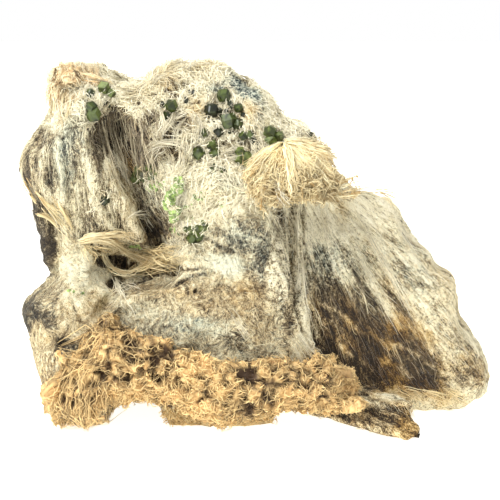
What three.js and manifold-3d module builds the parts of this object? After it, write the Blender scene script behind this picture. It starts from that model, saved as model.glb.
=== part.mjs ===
// Demantoid garnet crystals on a loose piece of serpentine rock with chrysotile fibre.
// Millimetres. +Z is up, +X is to the right of someone who faces the crystals, and
// -Y is towards that person. The origin is under the middle of the piece, on its base.

import * as THREE from 'three';
import { mergeVertices } from 'three/addons/utils/BufferGeometryUtils.js';
import { ConvexGeometry } from 'three/addons/geometries/ConvexGeometry.js';
import { ImprovedNoise } from 'three/addons/math/ImprovedNoise.js';
import Module from 'manifold-3d';

// Driving dimensions

const GAP = 0.3; // between two pieces that touch
const STRIATION_SPACING = 4.6; // between the coarse ribs of the fibrous slabs
const STRIATION_HEIGHT = 1.1;
const LUMP_SIZE = 7; // of the swellings in the felt-covered rock
const LUMP_HEIGHT = 1.5;
const KNOT_SIZE = 3.9; // of the curled knots in the ochre mat
const KNOT_HEIGHT = 2.4;
const LOCK_WIDTH = 1.7; // of one lock of matted fibre
const TUFT_RIBS = 38; // locks that lie side by side in the fan
const TUFT_LOOSE_LOCKS = 6; // locks that lie over them
const TONGUE_LEAVES = 4; // thin layers of the dark tongue
const TONGUE_LEAF_RISE = 1.6;
const CRYSTAL_SHOWING = 0.18; // how far a crystal's middle stands out of the rock, over its size
const FAN_PIVOT = { x: 3, z: 58 }; // where the fibres of the right slab spread from

// Finish of each kind of surface

const felted = new THREE.MeshStandardMaterial({ name: 'matrix', color: '#c2bb9f', roughness: 0.9, metalness: 0 });
const ochre = new THREE.MeshStandardMaterial({ name: 'ochre_fibre', color: '#bf9d66', roughness: 0.95, metalness: 0 });
const golden = new THREE.MeshStandardMaterial({ name: 'golden_fibre', color: '#d6c793', roughness: 0.9, metalness: 0 });
const cream = new THREE.MeshStandardMaterial({ name: 'cream_fibre', color: '#e0d5b0', roughness: 0.9, metalness: 0 });
const lime = new THREE.MeshStandardMaterial({ name: 'lime_crust', color: '#8fae5c', roughness: 0.5, metalness: 0 });
const demantoid = new THREE.MeshStandardMaterial({ name: 'demantoid', color: '#4d6a2c', roughness: 0.15, metalness: 0 });

// Solids

const wasm = await Module();
wasm.setup();

const noise = new ImprovedNoise();

function toSolid(geometry) {
  geometry.deleteAttribute('normal');
  geometry.deleteAttribute('uv');
  const merged = mergeVertices(geometry, 1e-4);
  return new wasm.Manifold(new wasm.Mesh({
    numProp: 3,
    vertProperties: Float32Array.from(merged.attributes.position.array),
    triVerts: Uint32Array.from(merged.index.array),
  }));
}

function toGeometry(solid) {
  const mesh = solid.getMesh();
  const geometry = new THREE.BufferGeometry();
  geometry.setAttribute('position', new THREE.BufferAttribute(mesh.vertProperties, 3));
  geometry.setIndex(new THREE.BufferAttribute(mesh.triVerts, 1));
  geometry.computeVertexNormals();
  return geometry;
}

function join(solids) {
  return solids.reduce((whole, solid) => whole.add(solid));
}

// The largest closed body of a solid, without crumbs and sealed bubbles.
function onePiece(solid) {
  const bodies = solid.decompose();
  bodies.sort((a, b) => b.volume() - a.volume());
  return bodies[0];
}

// The solid pushed outwards by a distance, used to keep a gap to it.
function swollen(solid, distance) {
  const geometry = toGeometry(solid);
  const { position, normal } = geometry.attributes;
  const point = new THREE.Vector3();
  const outward = new THREE.Vector3();
  for (let i = 0; i < position.count; i += 1) {
    point.fromBufferAttribute(position, i);
    outward.fromBufferAttribute(normal, i);
    point.addScaledVector(outward, distance);
    position.setXYZ(i, point.x, point.y, point.z);
  }
  return toSolid(geometry);
}

// The same pseudo-random numbers in every run.
function randomFrom(seed) {
  let state = seed;
  return () => {
    state = (state * 1664525 + 1013904223) % 4294967296;
    return state / 4294967296;
  };
}

// A value that changes along a row of [place, value] pairs, with the place rising.
function follow(pairs, place) {
  const last = pairs.length - 1;
  if (place <= pairs[0][0]) return pairs[0][1];
  if (place >= pairs[last][0]) return pairs[last][1];
  const next = pairs.findIndex(([end]) => end > place);
  const [fromPlace, fromValue] = pairs[next - 1];
  const [toPlace, toValue] = pairs[next];
  return THREE.MathUtils.mapLinear(place, fromPlace, toPlace, fromValue, toValue);
}

const { smoothstep, lerp, clamp } = THREE.MathUtils;

// The rock's outline as the viewer sees it: [z, left edge, right edge].

const OUTLINE = [
  [0, -39, 40],
  [2, -42.5, 43.5],
  [5, -44, 46.3],
  [13, -45, 46.6],
  [17, -45.6, 44.5],
  [22, -46.5, 41.8],
  [26, -44, 40.8],
  [29, -40.5, 39.8],
  [31.5, -39.5, 38],
  [35, -39.8, 34.5],
  [41, -41, 30],
  [44, -43, 27],
  [47, -46, 19],
  [51, -47, 16.2],
  [56, -46, 13],
  [59, -43.6, 10.5],
  [63, -41.4, 5.7],
  [66, -41.6, 2.8],
  [69, -41.8, -0.5],
  [71.4, -38, -5],
];

// Lines that part the front into its regions.

const GULLY_MIDDLE = [[28, -16], [36, -17.5], [43, -20.5], [50, -24.5], [57, -27], [64, -27.5]];
const GULLY_HALF_WIDTH = [[28, 3], [40, 3.4], [50, 4.8], [58, 5], [64, 2]];
const LOBE_RIM = [[4, 17], [12, 13.5], [25, 9], [33, 6], [40, 3.5], [45, 1.6], [52, 6], [58, 9]];
const LOBE_CREST = [[-30, 24], [-23, 30], [-17, 32], [-8, 33.5], [-3, 38], [2, 44], [8, 46]];
const CREAM_LEDGE = [[-20, 36], [-12, 37], [-4, 43], [2, 46], [10, 47]];
const LOWER_LOBES_SEAM = [[5, -28], [16, -27.5], [26, -29], [32, -31]];

// Depth of the front face: negative is towards the viewer.

function frontDepth(x, z) {
  const gully = follow(GULLY_MIDDLE, z);
  const rim = follow(LOBE_RIM, z);
  const crest = follow(LOBE_CREST, x);
  const seam = follow(LOWER_LOBES_SEAM, z);

  const leftSlab = follow([[26, 0], [34, -1], [44, -3], [52, -5], [60, -3], [66, -1], [71, 4]], z);
  const topMass = follow([[36, -5], [44, -6], [50, -5], [58, -3.5], [66, -0.5], [71, 5]], z)
    + 0.02 * Math.max(x - 4, 0) ** 2;
  const rightSlab = follow([[0, 2], [6, -3], [14, -4.5], [24, -3.5], [34, -1.5], [41, 0.5], [46, 4]], z)
    + 0.003 * Math.max(x - 16, 0) ** 2;
  const centreLobe = follow([[0, -6], [6, -10], [14, -13], [22, -13.5], [30, -12], [36, -10], [44, -7]], z)
    + 0.012 * (x + 8) ** 2;
  const leftLobe = follow([[0, -6], [6, -9], [16, -10], [24, -8.5], [29, -5], [32, -1]], z)
    + 0.03 * (x + 36) ** 2;

  const aboveLedge = smoothstep(z, follow(CREAM_LEDGE, x) - 1.5, follow(CREAM_LEDGE, x) + 1.5);
  let depth = lerp(topMass - 2.5, topMass, aboveLedge);
  depth = lerp(leftSlab, depth, smoothstep(x, gully - 2, gully + 2));
  depth = lerp(depth, centreLobe, 1 - smoothstep(z, crest - 2.2, crest + 2.2));
  depth = lerp(leftLobe, depth, Math.max(smoothstep(x, seam - 1.2, seam + 1.2), smoothstep(z, 29, 33)));
  depth = lerp(depth, rightSlab, smoothstep(x, rim - 1, rim + 2.4) * (1 - smoothstep(z, 43, 50)));

  const fromGully = Math.abs(x - gully) / follow(GULLY_HALF_WIDTH, z);
  const gullyDepth = (1 - smoothstep(fromGully, 0.4, 1.2)) * smoothstep(z, 30, 36) * (1 - smoothstep(z, 60, 66));
  const seamDepth = (1 - smoothstep(Math.abs(x - seam), 0, 2.5)) * (1 - smoothstep(z, 27, 32));
  const rimDepth = (1 - smoothstep(Math.abs(x - rim - 2.6), 0, 2.4)) * (1 - smoothstep(z, 40, 47));
  return depth + 9.5 * gullyDepth + 2.5 * seamDepth + 1.6 * rimDepth;
}

// Height of the small relief on the front: positive stands out.

function lumps(x, z) {
  return LUMP_HEIGHT * noise.noise(x / LUMP_SIZE, 3.3, z / LUMP_SIZE)
    + 0.6 * noise.noise(x / 3.6, 8.1, z / 3.6);
}

// Ribs that run down the left slab.
function uprightRibs(x, z) {
  const rib = noise.noise((x + 0.1 * z) * 1.5 / STRIATION_SPACING, 1.7, z / 22);
  return STRIATION_HEIGHT * rib;
}

// Ribs that spread down and to the right from one point.
function fannedRibs(x, z) {
  const turn = Math.atan2(x - FAN_PIVOT.x, FAN_PIVOT.z - z);
  const run = Math.hypot(x - FAN_PIVOT.x, FAN_PIVOT.z - z);
  const rib = noise.noise(turn * 50 / STRIATION_SPACING, 5.2, run / 24);
  return 1.4 * STRIATION_HEIGHT * rib;
}

// Folds like those of thick leather, which climb to the right.
function folds(x, z) {
  const climb = z - 0.42 * x;
  return 0.7 * Math.sin(climb / 1.9 + 3 * noise.noise(x / 13, 0.5, z / 13));
}

function frontRelief(x, z) {
  const gully = follow(GULLY_MIDDLE, z);
  const onLeftSlab = (1 - smoothstep(x, gully, gully + 5)) * smoothstep(z, 30, 36);
  const onRightSlab = smoothstep(x, follow(LOBE_RIM, z), follow(LOBE_RIM, z) + 2) * (1 - smoothstep(z, 44, 48));
  const onLobe = (1 - smoothstep(z, follow(LOBE_CREST, x) - 3, follow(LOBE_CREST, x))) * (1 - onRightSlab);
  return onLeftSlab * uprightRibs(x, z)
    + onRightSlab * fannedRibs(x, z)
    + onLobe * folds(x, z)
    + (1 - 0.7 * onRightSlab) * lumps(x, z);
}

function backDepth(x, z) {
  const domed = 0.0035 * (x ** 2 + (z - 28) ** 2);
  return 22 - domed + 1.8 * noise.noise(x / 15, 11.5, z / 15) + 0.7 * lumps(x + 50, z);
}

// The rock: a ring of points for every level, most of them across the front.

const FRONT_COLUMNS = 33;
const BACK_COLUMNS = 8;
const LEVELS = 21;
const EDGE_ROUNDING = 7; // how far in from the outline the faces curve round

function buildRock() {
  const around = FRONT_COLUMNS + BACK_COLUMNS;
  const top = OUTLINE[OUTLINE.length - 1][0];
  const geometry = new THREE.CylinderGeometry(1, 1, 1, around, LEVELS);
  const position = geometry.attributes.position;
  for (let i = 0; i < position.count; i += 1) {
    const isCapMiddle = Math.hypot(position.getX(i), position.getZ(i)) < 0.5;
    const turn = Math.atan2(position.getX(i), position.getZ(i)) / (2 * Math.PI);
    const column = Math.round((turn < -1e-6 ? turn + 1 : turn) * around) % around;
    const level = clamp(position.getY(i) + 0.5, 0, 1);
    const z = top * lerp(level, 0.5 - 0.5 * Math.cos(Math.PI * level), 0.4);
    const left = follow(OUTLINE.map(([height, edge]) => [height, edge]), z);
    const right = follow(OUTLINE.map(([height, , edge]) => [height, edge]), z);
    const onFront = column <= FRONT_COLUMNS;
    const share = onFront ? column / FRONT_COLUMNS : (around - column) / BACK_COLUMNS;
    const across = isCapMiddle ? 0.5 : lerp(share, 0.5 - 0.5 * Math.cos(Math.PI * share), 0.3);
    const x = lerp(left, right, across);
    const inset = Math.min(x - left, right - x, (top - z) * 1.3 + 1.2, z * 2 + 5);
    const roundness = Math.sqrt(1 - (1 - clamp(inset / EDGE_ROUNDING, 0, 1)) ** 2);
    const middle = 9;
    const face = onFront ? frontDepth(x, z) - frontRelief(x, z) : backDepth(x, z);
    const y = isCapMiddle ? middle : lerp(middle, face, 0.12 + 0.88 * roundness);
    const dip = 3.2 * Math.exp(-(((x + 24) / 3) ** 2)) * smoothstep(z, 60, top);
    position.setXYZ(i, x, y, z - dip);
  }
  return toSolid(geometry);
}

// A rounded body through stations. A station is [x, z] of one side, [x, z] of the
// other side, front y and back y. Its section is a rounded rectangle. The stations
// follow each other upwards when the first side is the left one, and to the right
// when it is the upper one. The relief pushes the skin outwards.
function lobe({ stations, around = 16, levels = 6, boxiness = 2.6, relief = () => 0 }) {
  const tracks = stations[0].map((_, track) => (
    new THREE.SplineCurve(stations.map((station, row) => new THREE.Vector2(row, station[track])))
  ));
  const geometry = new THREE.CylinderGeometry(1, 1, 1, around, levels);
  const position = geometry.attributes.position;
  const first = new THREE.Vector3();
  const second = new THREE.Vector3();
  const point = new THREE.Vector3();
  const outward = new THREE.Vector3();
  for (let i = 0; i < position.count; i += 1) {
    const along = clamp(position.getY(i) + 0.5, 0, 1);
    const u = position.getX(i);
    const v = -position.getZ(i);
    const [firstX, firstZ, secondX, secondZ, front, back] = tracks.map((track) => track.getPoint(along).y);
    const radius = (Math.abs(u) ** boxiness + Math.abs(v) ** boxiness) ** (1 / boxiness);
    const reach = Math.hypot(u, v) / Math.max(radius, 1e-6);
    first.set(firstX, 0, firstZ);
    second.set(secondX, 0, secondZ);
    point.lerpVectors(first, second, (u * reach + 1) / 2);
    point.y = lerp(front, back, (v * reach + 1) / 2);
    outward.subVectors(second, first).normalize();
    outward.multiplyScalar(Math.sign(u) * Math.abs(u) ** (boxiness - 1) * Math.abs(back - front));
    outward.y = Math.sign(v) * Math.abs(v) ** (boxiness - 1) * first.distanceTo(second);
    outward.normalize();
    point.addScaledVector(outward, relief(point.x, point.y, point.z));
    position.setXYZ(i, point.x, point.y, point.z);
  }
  return toSolid(geometry);
}

// One lock of fibre: a flattened, tapered strand along a curve through points.
function lock(points, width, { thickness = width * 0.7, sides = 4, steps = 3, tipWidth = 0.35 } = {}) {
  const curve = new THREE.CatmullRomCurve3(points.map((p) => new THREE.Vector3(...p)));
  const geometry = new THREE.CylinderGeometry(1, 1, 1, sides, steps);
  const position = geometry.attributes.position;
  const side = new THREE.Vector3();
  const lift = new THREE.Vector3();
  for (let i = 0; i < position.count; i += 1) {
    const along = clamp(position.getY(i) + 0.5, 0, 1);
    const tangent = curve.getTangent(along);
    side.set(0, -1, 0).cross(tangent).normalize();
    lift.crossVectors(side, tangent);
    const taper = lerp(1, tipWidth, along ** 2);
    const point = curve.getPoint(along);
    point.addScaledVector(side, position.getX(i) * taper * width / 2);
    point.addScaledVector(lift, position.getZ(i) * taper * thickness / 2);
    position.setXYZ(i, point.x, point.y, point.z);
  }
  return toSolid(geometry);
}

function block(width, depth, height, { x, y, z, tilt = 0 }) {
  const geometry = new THREE.BoxGeometry(width, depth, height);
  geometry.rotateX(tilt);
  geometry.translate(x, y, z);
  return toSolid(geometry);
}

const belowFloor = block(200, 200, 60, { x: 0, y: 0, z: -30 });

// The dark tongue: thin leaves that run to the right and forwards, the upper ones shorter.
function tongueLeaf(index) {
  const rise = index * TONGUE_LEAF_RISE;
  return lobe({
    stations: [
      [11, 4.6 + rise, 11, 2.6 + rise, -8, 6],
      [19, 3.8 + rise, 19, 1.8 + rise, -12 + 0.4 * rise, 3],
      [27, 2.4 + rise, 27, 0.6 + rise, -15 + 0.6 * rise, -5],
      [32.6 - 0.5 * rise, 1.8 + 0.9 * rise, 32.6 - 0.5 * rise, 0.9 * rise, -16.5 + 0.8 * rise, -9],
    ],
    around: 8,
    levels: 4,
    boxiness: 3.5,
  });
}

// The dark splinter of fibre that stands behind the left edge.
const splinter = lobe({
  stations: [
    [-40.5, 27, -38, 27, 4, 7],
    [-42.5, 35, -38, 35, 3, 9],
    [-44, 41, -38.5, 41, 3, 10],
    [-45, 47, -39, 47, 4, 9],
  ],
  around: 10,
  levels: 5,
});

// Hollows in the rock

const cavity = lobe({
  stations: [
    [-30, 27, -19, 28, -19, -1],
    [-34, 29.5, -15, 30.5, -19, 5],
    [-34, 33, -15.5, 34, -18, 5],
    [-30, 36.5, -18.5, 37, -16, 1],
  ],
  around: 16,
  levels: 5,
  relief: (x, y, z) => 0.9 * noise.noise(x / 4, y / 4, z / 4),
});

const archUnderFront = lobe({
  stations: [
    [-30, -2, -17, -2, -32, 15],
    [-30, 2, -17.5, 2, -32, 14],
    [-29, 5, -18.5, 5, -32, 12],
    [-25.5, 7.4, -22, 7.4, -32, 6],
  ],
  around: 14,
  levels: 5,
});

// The underside of the right half climbs towards the viewer.
const UNDERCUT_TILT = THREE.MathUtils.degToRad(-10);
const undercut = block(60, 40, 6, { x: 34, y: -2.5, z: 0.1, tilt: UNDERCUT_TILT });

const rock = onePiece(join([buildRock().subtract(undercut), splinter])
  .subtract(cavity)
  .subtract(archUnderFront)
  .add(join(Array.from({ length: TONGUE_LEAVES }, (_, index) => tongueLeaf(index))))
  .subtract(belowFloor));

// Where the front of the rock is, straight behind (x, z).
const rockFace = new THREE.Mesh(toGeometry(rock));
const sightline = new THREE.Raycaster();

function rockFront(x, z) {
  sightline.set(new THREE.Vector3(x, -60, z), new THREE.Vector3(0, 1, 0));
  const [hit] = sightline.intersectObject(rockFace);
  return hit ? hit.point.y : 10;
}

// Garnet crystals: rhombic dodecahedra, partly sunk in the rock

const DODECAHEDRON_INRADIUS = Math.SQRT2; // of the corner list below

function dodecahedronCorners() {
  const corners = [];
  [-1, 1].forEach((a) => {
    corners.push([2 * a, 0, 0], [0, 2 * a, 0], [0, 0, 2 * a]);
    [-1, 1].forEach((b) => [-1, 1].forEach((c) => corners.push([a, b, c])));
  });
  return corners.map((corner) => new THREE.Vector3(...corner));
}

// A crystal of the given size across its faces, grown outwards by a margin.
function crystal({ x, y, z, size, turn }, margin = 0) {
  const geometry = new ConvexGeometry(dodecahedronCorners());
  const scale = (size / 2 + margin) / DODECAHEDRON_INRADIUS;
  geometry.scale(scale, scale, scale);
  geometry.applyMatrix4(new THREE.Matrix4().makeRotationFromEuler(new THREE.Euler(turn, 1.7 * turn, 2.9 * turn)));
  geometry.translate(x, y, z);
  return toSolid(geometry);
}

// Each entry is one crystal or one cluster that has grown together: [x, z, size] of each crystal.
const GARNETS = {
  knob_garnet_bright: [[-29.7, 67.5, 2.5], [-28.2, 66.3, 1.8]],
  knob_garnet_middle: [[-32.1, 66.4, 1.8]],
  knob_garnet_pair: [[-31.8, 63.9, 2.2], [-31.4, 62.3, 2.8]],
  gully_head_garnet: [[-16.3, 64, 2.5], [-16.8, 62.1, 2.2]],
  skyline_garnet: [[-6, 65.9, 2.7]],
  black_garnet: [[-8.4, 63.1, 2.8]],
  field_garnet_upper: [[-3.1, 63.6, 1.8]],
  field_garnet_large: [[-5, 61.2, 3], [-3.2, 60.6, 2.1]],
  field_garnet_dark: [[-7, 59, 1.9]],
  field_garnet_left: [[-9.8, 58.8, 2]],
  field_garnet_right: [[-2.2, 58.3, 1.8], [-0.7, 58.6, 1.8]],
  lower_garnet_left: [[-10.9, 55, 2.6]],
  lower_garnet_middle: [[-8.3, 56.5, 2], [-7.7, 54.9, 2]],
  lower_garnet_bright: [[-2.9, 55.3, 1.9], [-2.8, 53.9, 2.1], [-1.5, 54.3, 2.2], [-1.4, 53.1, 1.9]],
  lower_garnet_flat: [[-7.9, 51.8, 2.1], [-6.2, 51.6, 1.9]],
  shoulder_garnet_bright: [[3, 59.2, 2.4], [3.3, 57.4, 2.3], [4.9, 58.3, 1.8]],
  edge_garnet: [[11, 57.8, 1.4], [11.5, 56.7, 1.4]],
  slab_garnet: [[-29.4, 45.6, 2]],
  gully_garnet: [[-22.2, 50.4, 1.7], [-21, 50.2, 2.1], [-19.8, 50.6, 1.8]],
  ledge_garnet: [[-12.2, 38.4, 2], [-10.8, 38.7, 1.9]],
};

const turnOf = randomFrom(7);
const clusters = Object.entries(GARNETS).map(([name, crystals]) => {
  const fronts = crystals.map(([x, z, size]) => rockFront(x, z) - CRYSTAL_SHOWING * size);
  const y = fronts.reduce((sum, front) => sum + front) / fronts.length;
  return { name, crystals: crystals.map(([x, z, size]) => ({ x, y, z, size, turn: 6 * turnOf() })) };
});

const sockets = clusters.flatMap(({ crystals }) => crystals.map((each) => crystal(each, GAP)));
const matrix = onePiece(rock.subtract(join(sockets)));
const clearOfRock = swollen(rock, GAP).add(belowFloor);

// The ochre mat of curled fibre across the lower front: [x, upper z, lower z, front y].

const MAT_STATIONS = [
  [-43, 9.5, 5, -10],
  [-41, 12, 2.2, -13],
  [-37, 15.5, 1, -15],
  [-32.5, 19.4, 1.4, -16],
  [-29, 23.6, 5.2, -15.5],
  [-24, 22, 6.4, -16],
  [-18, 20.6, 5.6, -17],
  [-12.5, 18.8, 4.2, -18],
  [-6, 16.2, 1.8, -18.5],
  [0, 17, 3.2, -18],
  [5.6, 16, 4.6, -17],
  [12.6, 14.8, 3.6, -15],
  [18.5, 12.4, 4, -12.5],
  [20.8, 9.8, 5.2, -10],
];

function knots(x, y, z) {
  const coarse = noise.noise(x / KNOT_SIZE, y / KNOT_SIZE, z / KNOT_SIZE);
  const fine = noise.noise(x / 1.7 + 9, y / 1.7, z / 1.7);
  return KNOT_HEIGHT * (1.6 * Math.abs(coarse) - 0.3) + 0.5 * fine;
}

const matBody = lobe({
  stations: MAT_STATIONS.map(([x, upper, lower, front]) => [x, upper, x, lower, front, front + 13]),
  around: 13,
  levels: 28,
  boxiness: 2.3,
  relief: knots,
});

// Straws that lie out of the mat, each from its root to its tip.
const MAT_STRAWS = [
  [[-30, -14, 19], [-29, -14.5, 22], [-27.6, -14.5, 24.6]],
  [[-33, -15, 17], [-32, -14, 20], [-30.5, -13.5, 22.8]],
  [[-36, -13, 14], [-37.5, -13.5, 16.2], [-38.5, -12.5, 17.8]],
  [[-40, -12, 8], [-42.5, -12.5, 9.5], [-44.5, -11.5, 12]],
  [[-35, -14, 4], [-32, -16, 4], [-27.5, -16, 5.4]],
  [[14, -14.5, 11], [17, -14, 12.5], [18.5, -12.5, 14.4]],
  [[16, -13, 6], [19.5, -13.5, 6.2], [22.4, -12.5, 7.4]],
  [[-22, -15.5, 18], [-20, -16.5, 20], [-17.5, -16, 20.6]],
];

const matStraws = join(MAT_STRAWS.map((points) => lock(points, LOCK_WIDTH)));
const ochreMat = onePiece(matBody.add(matStraws).subtract(clearOfRock));

// The golden fan on the shoulder: ribs of locks from one apex to a ragged hem

const TUFT_APEX = new THREE.Vector3(5.8, -5, 57);
const TUFT_HEM = new THREE.CatmullRomCurve3([
  new THREE.Vector3(-1.8, -7.5, 52),
  new THREE.Vector3(-0.6, -10.6, 48),
  new THREE.Vector3(2.4, -12.4, 45.8),
  new THREE.Vector3(5.8, -13, 47.2),
  new THREE.Vector3(9.8, -13.2, 47.8),
  new THREE.Vector3(13.6, -12.4, 47),
  new THREE.Vector3(16.2, -11, 48.8),
  new THREE.Vector3(14.4, -8, 53.2),
]);
const TUFT_SWELL = 3.4; // how far the fan bellies out halfway down
const TUFT_THICKNESS = 6;
const TUFT_LEVELS = 4;
const tuftRandom = randomFrom(21);

// A point of the fan: share goes along the hem, down goes from the apex to the hem.
function tuftPoint(share, down, lift) {
  const point = TUFT_APEX.clone().lerp(TUFT_HEM.getPoint(clamp(share, 0, 1)), down);
  const belly = Math.sin(Math.PI * clamp(down, 0, 1) ** 0.8);
  point.y -= TUFT_SWELL * belly + lift;
  point.z += 0.9 * belly;
  return point;
}

function buildTuftFan() {
  const backColumns = 8;
  const around = TUFT_RIBS + backColumns;
  const ribs = Array.from({ length: TUFT_RIBS + 1 }, (_, rib) => ({
    lift: rib % 2 ? 0.9 + 0.5 * tuftRandom() : -0.2,
    hem: 0.95 + 0.13 * tuftRandom(),
  }));
  const geometry = new THREE.CylinderGeometry(1, 1, 1, around, TUFT_LEVELS);
  const position = geometry.attributes.position;
  for (let i = 0; i < position.count; i += 1) {
    const isCapMiddle = Math.hypot(position.getX(i), position.getZ(i)) < 0.5;
    const turn = Math.atan2(position.getX(i), position.getZ(i)) / (2 * Math.PI);
    const column = Math.round((turn < -1e-6 ? turn + 1 : turn) * around) % around;
    const down = lerp(1, 0.12, clamp(position.getY(i) + 0.5, 0, 1));
    const onFront = column <= TUFT_RIBS;
    const share = onFront ? column / TUFT_RIBS : (around - column) / backColumns;
    const rib = onFront ? ribs[column] : { lift: 0, hem: 0.9 };
    const point = isCapMiddle ? tuftPoint(0.5, down, 0) : tuftPoint(share, down * rib.hem, rib.lift * down);
    if (isCapMiddle || !onFront) {
      point.y += TUFT_THICKNESS * (isCapMiddle ? 0.5 : Math.sin(Math.PI * share) ** 0.5);
    }
    position.setXYZ(i, point.x, point.y, point.z);
  }
  return toSolid(geometry);
}

function looseTuftLock(_, index) {
  const share = (index + tuftRandom()) / TUFT_LOOSE_LOCKS;
  const start = 0.2 + 0.3 * tuftRandom();
  const end = 1.02 + 0.1 * tuftRandom();
  const curl = 0.1 * (tuftRandom() - 0.5);
  return lock([
    tuftPoint(share, start, 0).toArray(),
    tuftPoint(share + curl, lerp(start, end, 0.5), 2).toArray(),
    tuftPoint(share - curl, end, 1.6).toArray(),
  ], LOCK_WIDTH * (0.9 + 0.4 * tuftRandom()), { sides: 3, tipWidth: 0.6 });
}

// Wisps that fly off the right of the fan.
const TUFT_WISPS = [
  [[13, -12, 49.8], [16.4, -12, 50], [20, -11.6, 51.4]],
  [[13, -12.4, 48], [16.6, -12, 47.8], [21, -11, 48.4]],
  [[11, -10, 53.2], [13.6, -9.2, 52.6], [16.4, -9.2, 51.6]],
];

const tuftLocks = join(Array.from({ length: TUFT_LOOSE_LOCKS }, looseTuftLock));
const tuftWisps = join(TUFT_WISPS.map((points) => lock(points, LOCK_WIDTH, { sides: 3 })));
const shoulderTuft = onePiece(join([buildTuftFan(), tuftLocks, tuftWisps]).subtract(clearOfRock)
  .subtract(join(sockets)));

// The small tuft on the top-left knob

const KNOB_TUFT_ROOT = new THREE.Vector3(-36, 1, 68.6);
const KNOB_TUFT_TIPS = [
  [-41.6, 0, 69.2], [-40.8, 1, 71.4], [-39, 2, 72.9], [-36.6, 2, 73],
  [-34.2, 2, 72.2], [-41, -2, 67.6],
];

const knobTuftBody = lobe({
  stations: [
    [-40, 67.6, -34, 68.4, -2.6, 4],
    [-40.4, 69.6, -33.6, 70.2, -2, 5],
    [-38.4, 71.6, -35, 71.8, 0, 4],
  ],
  around: 10,
  levels: 3,
});

function knobLock(tip) {
  const end = new THREE.Vector3(...tip);
  const middle = KNOB_TUFT_ROOT.clone().lerp(end, 0.55);
  middle.y -= 1.4;
  middle.z += 0.8;
  return lock([KNOB_TUFT_ROOT.toArray(), middle.toArray(), tip], LOCK_WIDTH * 1.2, { sides: 3 });
}

const knobTuft = onePiece(join([knobTuftBody, ...KNOB_TUFT_TIPS.map(knobLock)]).subtract(clearOfRock)
  .subtract(join(sockets)));

// Pale fibre bundles: one slants down the left edge, others cross the cavity's mouth

const FIBRE_BANDS = [
  [[-46, -4, 49], [-41, -7, 43.6], [-35.5, -7, 38.4], [-31, -7, 36.6]],
  [[-44.6, -5, 46.6], [-40, -7, 42], [-34.5, -7.6, 37.4]],
  [[-36.6, -5, 38.8], [-30, -8, 37.4], [-23, -9, 34.4], [-19.4, -9, 32.6]],
  [[-36, -5, 37.4], [-29, -8.6, 35.8], [-22, -9.4, 33], [-18, -10, 31.6]],
  [[-35.6, -5.6, 36.2], [-31, -8.2, 35], [-26, -9, 33.4], [-22, -9.5, 31.4]],
  [[-31, -8, 36.4], [-28.6, -9.4, 33], [-27.4, -10, 30], [-25.4, -11, 27.8]],
  [[-33, -7.6, 36], [-32.4, -9, 33], [-31, -10, 30.4]],
  [[-26, -8.6, 35.6], [-24.4, -8.6, 38], [-24, -7.6, 40.4]],
];

const fibreBands = onePiece(join(FIBRE_BANDS.map((points) => (
  lock(points, LOCK_WIDTH * 1.3, { sides: 3, tipWidth: 0.5 })
))).subtract(clearOfRock));

// The lime-green crust of very small garnets: grains on a strip of skin

const CRUST_LINE = new THREE.SplineCurve([
  new THREE.Vector2(-15.2, 49.6),
  new THREE.Vector2(-15.8, 46),
  new THREE.Vector2(-15.6, 43),
  new THREE.Vector2(-16, 40),
]);
const CRUST_GRAINS = 8;
const crustRandom = randomFrom(5);

function crustGrain(_, index) {
  const middle = CRUST_LINE.getPoint(index / (CRUST_GRAINS - 1));
  const size = 1.1 + 0.5 * crustRandom();
  const x = middle.x + 2.2 * (crustRandom() - 0.5);
  const z = middle.y;
  const geometry = new THREE.IcosahedronGeometry(size, 0);
  geometry.rotateY(6 * crustRandom());
  geometry.translate(x, rockFront(x, z) - 0.5 * size - GAP, z);
  return toSolid(geometry);
}

const limeCrust = onePiece(join(Array.from({ length: CRUST_GRAINS }, crustGrain)).subtract(clearOfRock));

// The finished piece

const specimen = new THREE.Group();

function place(name, solid, material) {
  const mesh = new THREE.Mesh(toGeometry(solid), material);
  mesh.name = name;
  specimen.add(mesh);
}

place('matrix', matrix, felted);
place('ochre_fibre_mat', ochreMat, ochre);
place('shoulder_fibre_tuft', shoulderTuft, golden);
place('knob_fibre_tuft', knobTuft, ochre);
place('cavity_fibre_bands', fibreBands, cream);
place('lime_green_crust', limeCrust, lime);
clusters.forEach(({ name, crystals }) => {
  place(name, onePiece(join(crystals.map((each) => crystal(each)))), demantoid);
});

// The origin goes under the middle of the whole piece.
const extent = new THREE.Box3().setFromObject(specimen);
const middle = extent.getCenter(new THREE.Vector3());
specimen.position.set(-middle.x, -middle.y, -extent.min.z);

export default specimen;
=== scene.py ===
# %% [markdown]
# # Green garnets on a rock that is matted with mineral fibre
#
# The real piece is a loose lump of serpentine, 93 mm wide. Chrysotile, a mineral that grows as
# silky fibre, wraps it: cream felt on the crown, combed straw on two slabs, a leathery skin over
# the lobes, and a rust-coloured mat of curls along the foot. Small green demantoid crystals sit in
# the felt. The solids of the part give the forms. This lesson dresses them: it makes the rock's
# fine relief, grows fibres on it, and gives each surface its finish.

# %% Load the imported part
import math

import bmesh
import bpy
import numpy as np
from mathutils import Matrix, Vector
from mathutils.bvhtree import BVHTree


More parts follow.
